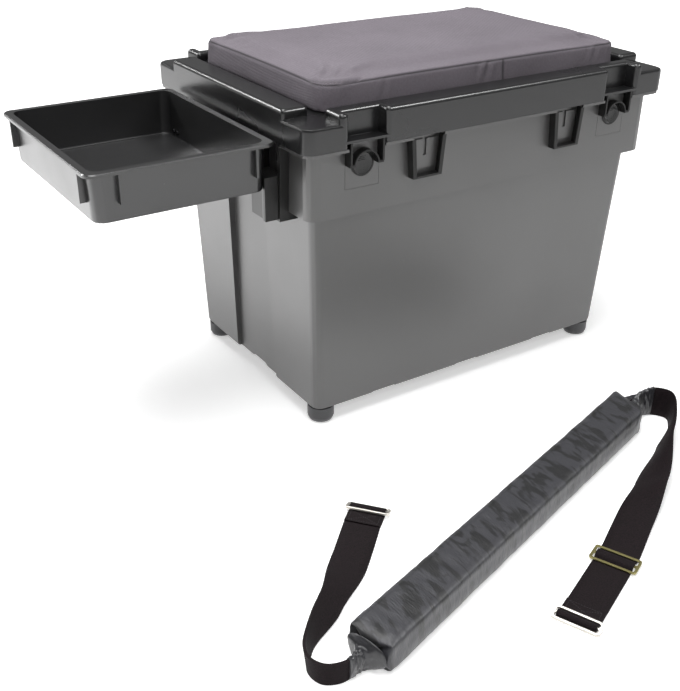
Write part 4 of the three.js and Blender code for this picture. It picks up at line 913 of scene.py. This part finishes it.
for side, stations in (("left", left_stations), ("right", right_stations)):
    strip = strip_skin(f"webbing_{side}_strip", stations)
    strip.data.materials.append(webbing_cloth)
    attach(strip, "strap")
    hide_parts(f"strap_webbing_{side}")

# Stitching
# Dark thread sews each loop of webbing down: a box of stitches with a cross in it, on the upper layer.
thread_radius = 0.00028
thread_pitch = 0.0028
stitch_top = 4 * web_step - 0.0001
stitch_near, stitch_far, stitch_side = -0.0075, -0.0235, 0.0172
stitch_share = 0.15
stitch_dip = 0.15


def stitch_rows(lines):
    """Evenly spaced stitches along straight lines, as pairs of ends."""
    stitches = []
    for start, end in lines:
        count = round((end - start).length / thread_pitch)
        for k in range(count):
            first = start.lerp(end, (k + stitch_share) / count)
            stitches.append((first, start.lerp(end, (k + 1 - stitch_share) / count)))
    return stitches


thread_black, tree, shader = new_material("thread_black")
wire(tree, shader, {"Base Color": (0.02, 0.018, 0.02, 1), "Roughness": 0.7})
for side, ring_place, heading in (("left", left_ring, left_heading), ("right", right_ring, right_heading)):
    corners = [Vector((stitch_near, -stitch_side, 0)), Vector((stitch_near, stitch_side, 0)),
               Vector((stitch_far, stitch_side, 0)), Vector((stitch_far, -stitch_side, 0))]
    lines = [(corners[k], corners[(k + 1) % 4]) for k in range(4)]
    lines += [(corners[0], corners[2]), (corners[1], corners[3])]
    points, faces = [], []
    for start, end in stitch_rows(lines):
        forward = (end - start).normalized()
        sideways = Vector((-forward.y, forward.x, 0)) * thread_radius
        first = len(points)
        for share, lift in ((0, stitch_dip), (0.25, 1), (0.75, 1), (1, stitch_dip)):
            centre = start.lerp(end, share)
            points += [centre - sideways, centre + Vector((0, 0, thread_radius * lift)), centre + sideways]
        for row in range(3):
            for k in range(2):
                a = first + row * 3 + k
                faces.append((a, a + 1, a + 4, a + 3))
    stitching = faced_piece(f"stitching_{side}", points, faces)
    on_loop = Matrix.Translation(ring_place + Vector((0, 0, stitch_top)))
    stitching.data.transform(on_loop @ Matrix.Rotation(math.radians(heading), 4, "Z"))
    settled(stitching)
    stitching.data.materials.append(thread_black)
    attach(stitching, "strap")

# Sleeve tails
# The pad's satin sleeve runs on over the webbing at both ends as a crumpled tail, gathered tight round it.
tail_rows = 44
tail_round = 28
tail_gather = 0.42
tail_roundness = 2.6
tail_lift = 0.0004
tail_low = 0.0003
tail_slack = 0.0024
tail_slack_start = 0.0022
tail_over = 0.0012
tail_crumple = 0.0030
tail_crinkle = 0.0014
crumple_start = 0.35
pad_end_half = (0.0235, 0.0150)
# the tails carry the same darker patches of painted shade for the satin's uneven sheen
tail_satin = satin_cloth("tail_satin", (0.018, 0.018, 0.022), (0.008, 0.008, 0.01), 0.3, 0.6, 0.0012)
for side, points, headings, tilts, widths, reach, seed in (
    ("left", left_points, left_headings, left_tilts, left_widths, 0.19, 7),
    ("right", right_points, right_headings, right_tilts, right_widths, 0.235, 2),
):
    skin, faces = [], []
    for row in range(tail_rows + 1):
        share = row / tail_rows
        middle, wide, thick, half_width, half_thin = lying_run(points, headings, tilts, widths, share * reach)
        gathered = smooth_between(share, 0, tail_gather)
        loose = tail_slack + tail_slack_start * (1 - share)
        high = pad_end_half[1] * (1 - gathered) + (half_width + tail_over) * gathered
        broad = pad_end_half[0] * (1 - gathered) + (half_thin + loose) * gathered
        lift = (pad_height / 2) * (1 - gathered) + middle.z * gathered
        centre = Vector((middle.x, middle.y, lift + tail_lift))
        rumpled = (crumple_start + (1 - crumple_start) * gathered) * min(1, 4 * (1 - share))
        for k in range(tail_round):
            angle = 2 * math.pi * k / tail_round
            a, b = math.cos(angle), math.sin(angle)
            squared = (abs(a) ** tail_roundness + abs(b) ** tail_roundness) ** (-1 / tail_roundness)
            spot = centre + wide * (high * a * squared) + thick * (broad * b * squared)
            rough = noise.noise(Vector((share * 9 + 3 * a, angle * 1.9, share * 4 + seed)))
            sharp = noise.noise(Vector((share * 22, angle * 4, 1.5)))
            away = (wide * a + thick * b).normalized()
            spot += away * (tail_crumple * rough + tail_crinkle * sharp) * rumpled
            spot.z = max(spot.z, tail_low)
            skin.append(spot)
    for row in range(tail_rows):
        for k in range(tail_round):
            after = (k + 1) % tail_round
            a, b = row * tail_round, (row + 1) * tail_round
            faces.append((a + k, a + after, b + after, b + k))
    faces.append(list(range(tail_round))[::-1])
    faces.append([tail_rows * tail_round + k for k in range(tail_round)])
    tail = faced_piece(f"strap_tail_{side}", skin, faces)
    settled(tail)
    refined(tail)
    tail.data.materials.append(tail_satin)
    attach(tail, "strap")

# Rings and slider
# Both ends carry a three-bar ring of bright plated zinc. The slider on the right length is a plainer
# three-bar frame with a dull olive brass finish.


def metal(name, colour, roughness, wear):
    """Plated metal with a slightly uneven polish."""
    material, tree, shader = new_material(name)
    place = add_node(tree, "ShaderNodeTexCoord").outputs["Object"]
    uneven = add_node(tree, "ShaderNodeTexNoise", {"Vector": place, "Scale": 180})
    wire(tree, shader, {
        "Base Color": (*colour, 1),
        "Metallic": 1,
        "Roughness": maths(tree, "MULTIPLY_ADD", uneven.outputs["Fac"], wear, roughness),
    })
    return material


ring_plate = metal("ring_plate", (0.6, 0.575, 0.53), 0.3, 0.25)
slider_brass = metal("slider_brass", (0.25, 0.225, 0.1), 0.36, 0.25)
slider = eased_copy("strap_slider", "slider_frame", "strap", 0, slider_brass)
for side, stations, carried in (("left", left_stations, []), ("right", right_stations, [slider])):
    ring = eased_copy(f"strap_ring_{side}", f"ring_{side}_plated", "strap", 0, ring_plate)

# Fastenings
# Behind each button a coil spring and a clip washer, at the back two hinge pins, under the cushion a plywood
# board with four screws, and four screws in the tray's hangers. Each spring stands on the housing.
zinc = metal("zinc_plate", (0.62, 0.62, 0.63), 0.3, 0.2)
black_zinc = metal("black_zinc", (0.03, 0.03, 0.032), 0.4, 0.2)
for name, body in (
    [(f"latch_clip_{side}", f"button_{side}") for side in ("left", "right")]
    + [(f"hinge_pin_{side}", "bin") for side in ("left", "right")]
    + [(f"cushion_screw_{k}", "lid") for k in range(1, 5)]
    + [(f"tray_screw_{k}", "tray") for k in range(1, 5)]
):
    eased_copy(name, f"{name}_plated", body, 0, black_zinc if body == "tray" else zinc)
for side in ("left", "right"):
    spring = eased_copy(f"latch_spring_{side}", f"latch_{side}_spring_wire", "bin", 0, zinc)
    high = Vector([max(v.co[k] for v in spring.data.vertices) for k in range(3)])
    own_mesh(spring)

plywood_pale = (0.52, 0.37, 0.2, 1)
plywood_dark = (0.36, 0.22, 0.1, 1)
plywood, tree, shader = new_material("plywood")
place = add_node(tree, "ShaderNodeTexCoord").outputs["Object"]
drawn = add_node(tree, "ShaderNodeMapping", {"Vector": place, "Scale": (1, 9, 9)})
grain = add_node(tree, "ShaderNodeTexNoise", {
    "Vector": drawn.outputs["Vector"], "Scale": 14, "Detail": 6, "Distortion": 1.2,
})
wire(tree, shader, {
    "Base Color": blend(tree, grain.outputs["Fac"], plywood_dark, plywood_pale),
    "Roughness": 0.7,
})
eased_copy("cushion_board", "cushion_board_plywood", "lid", fitting_edge, plywood)
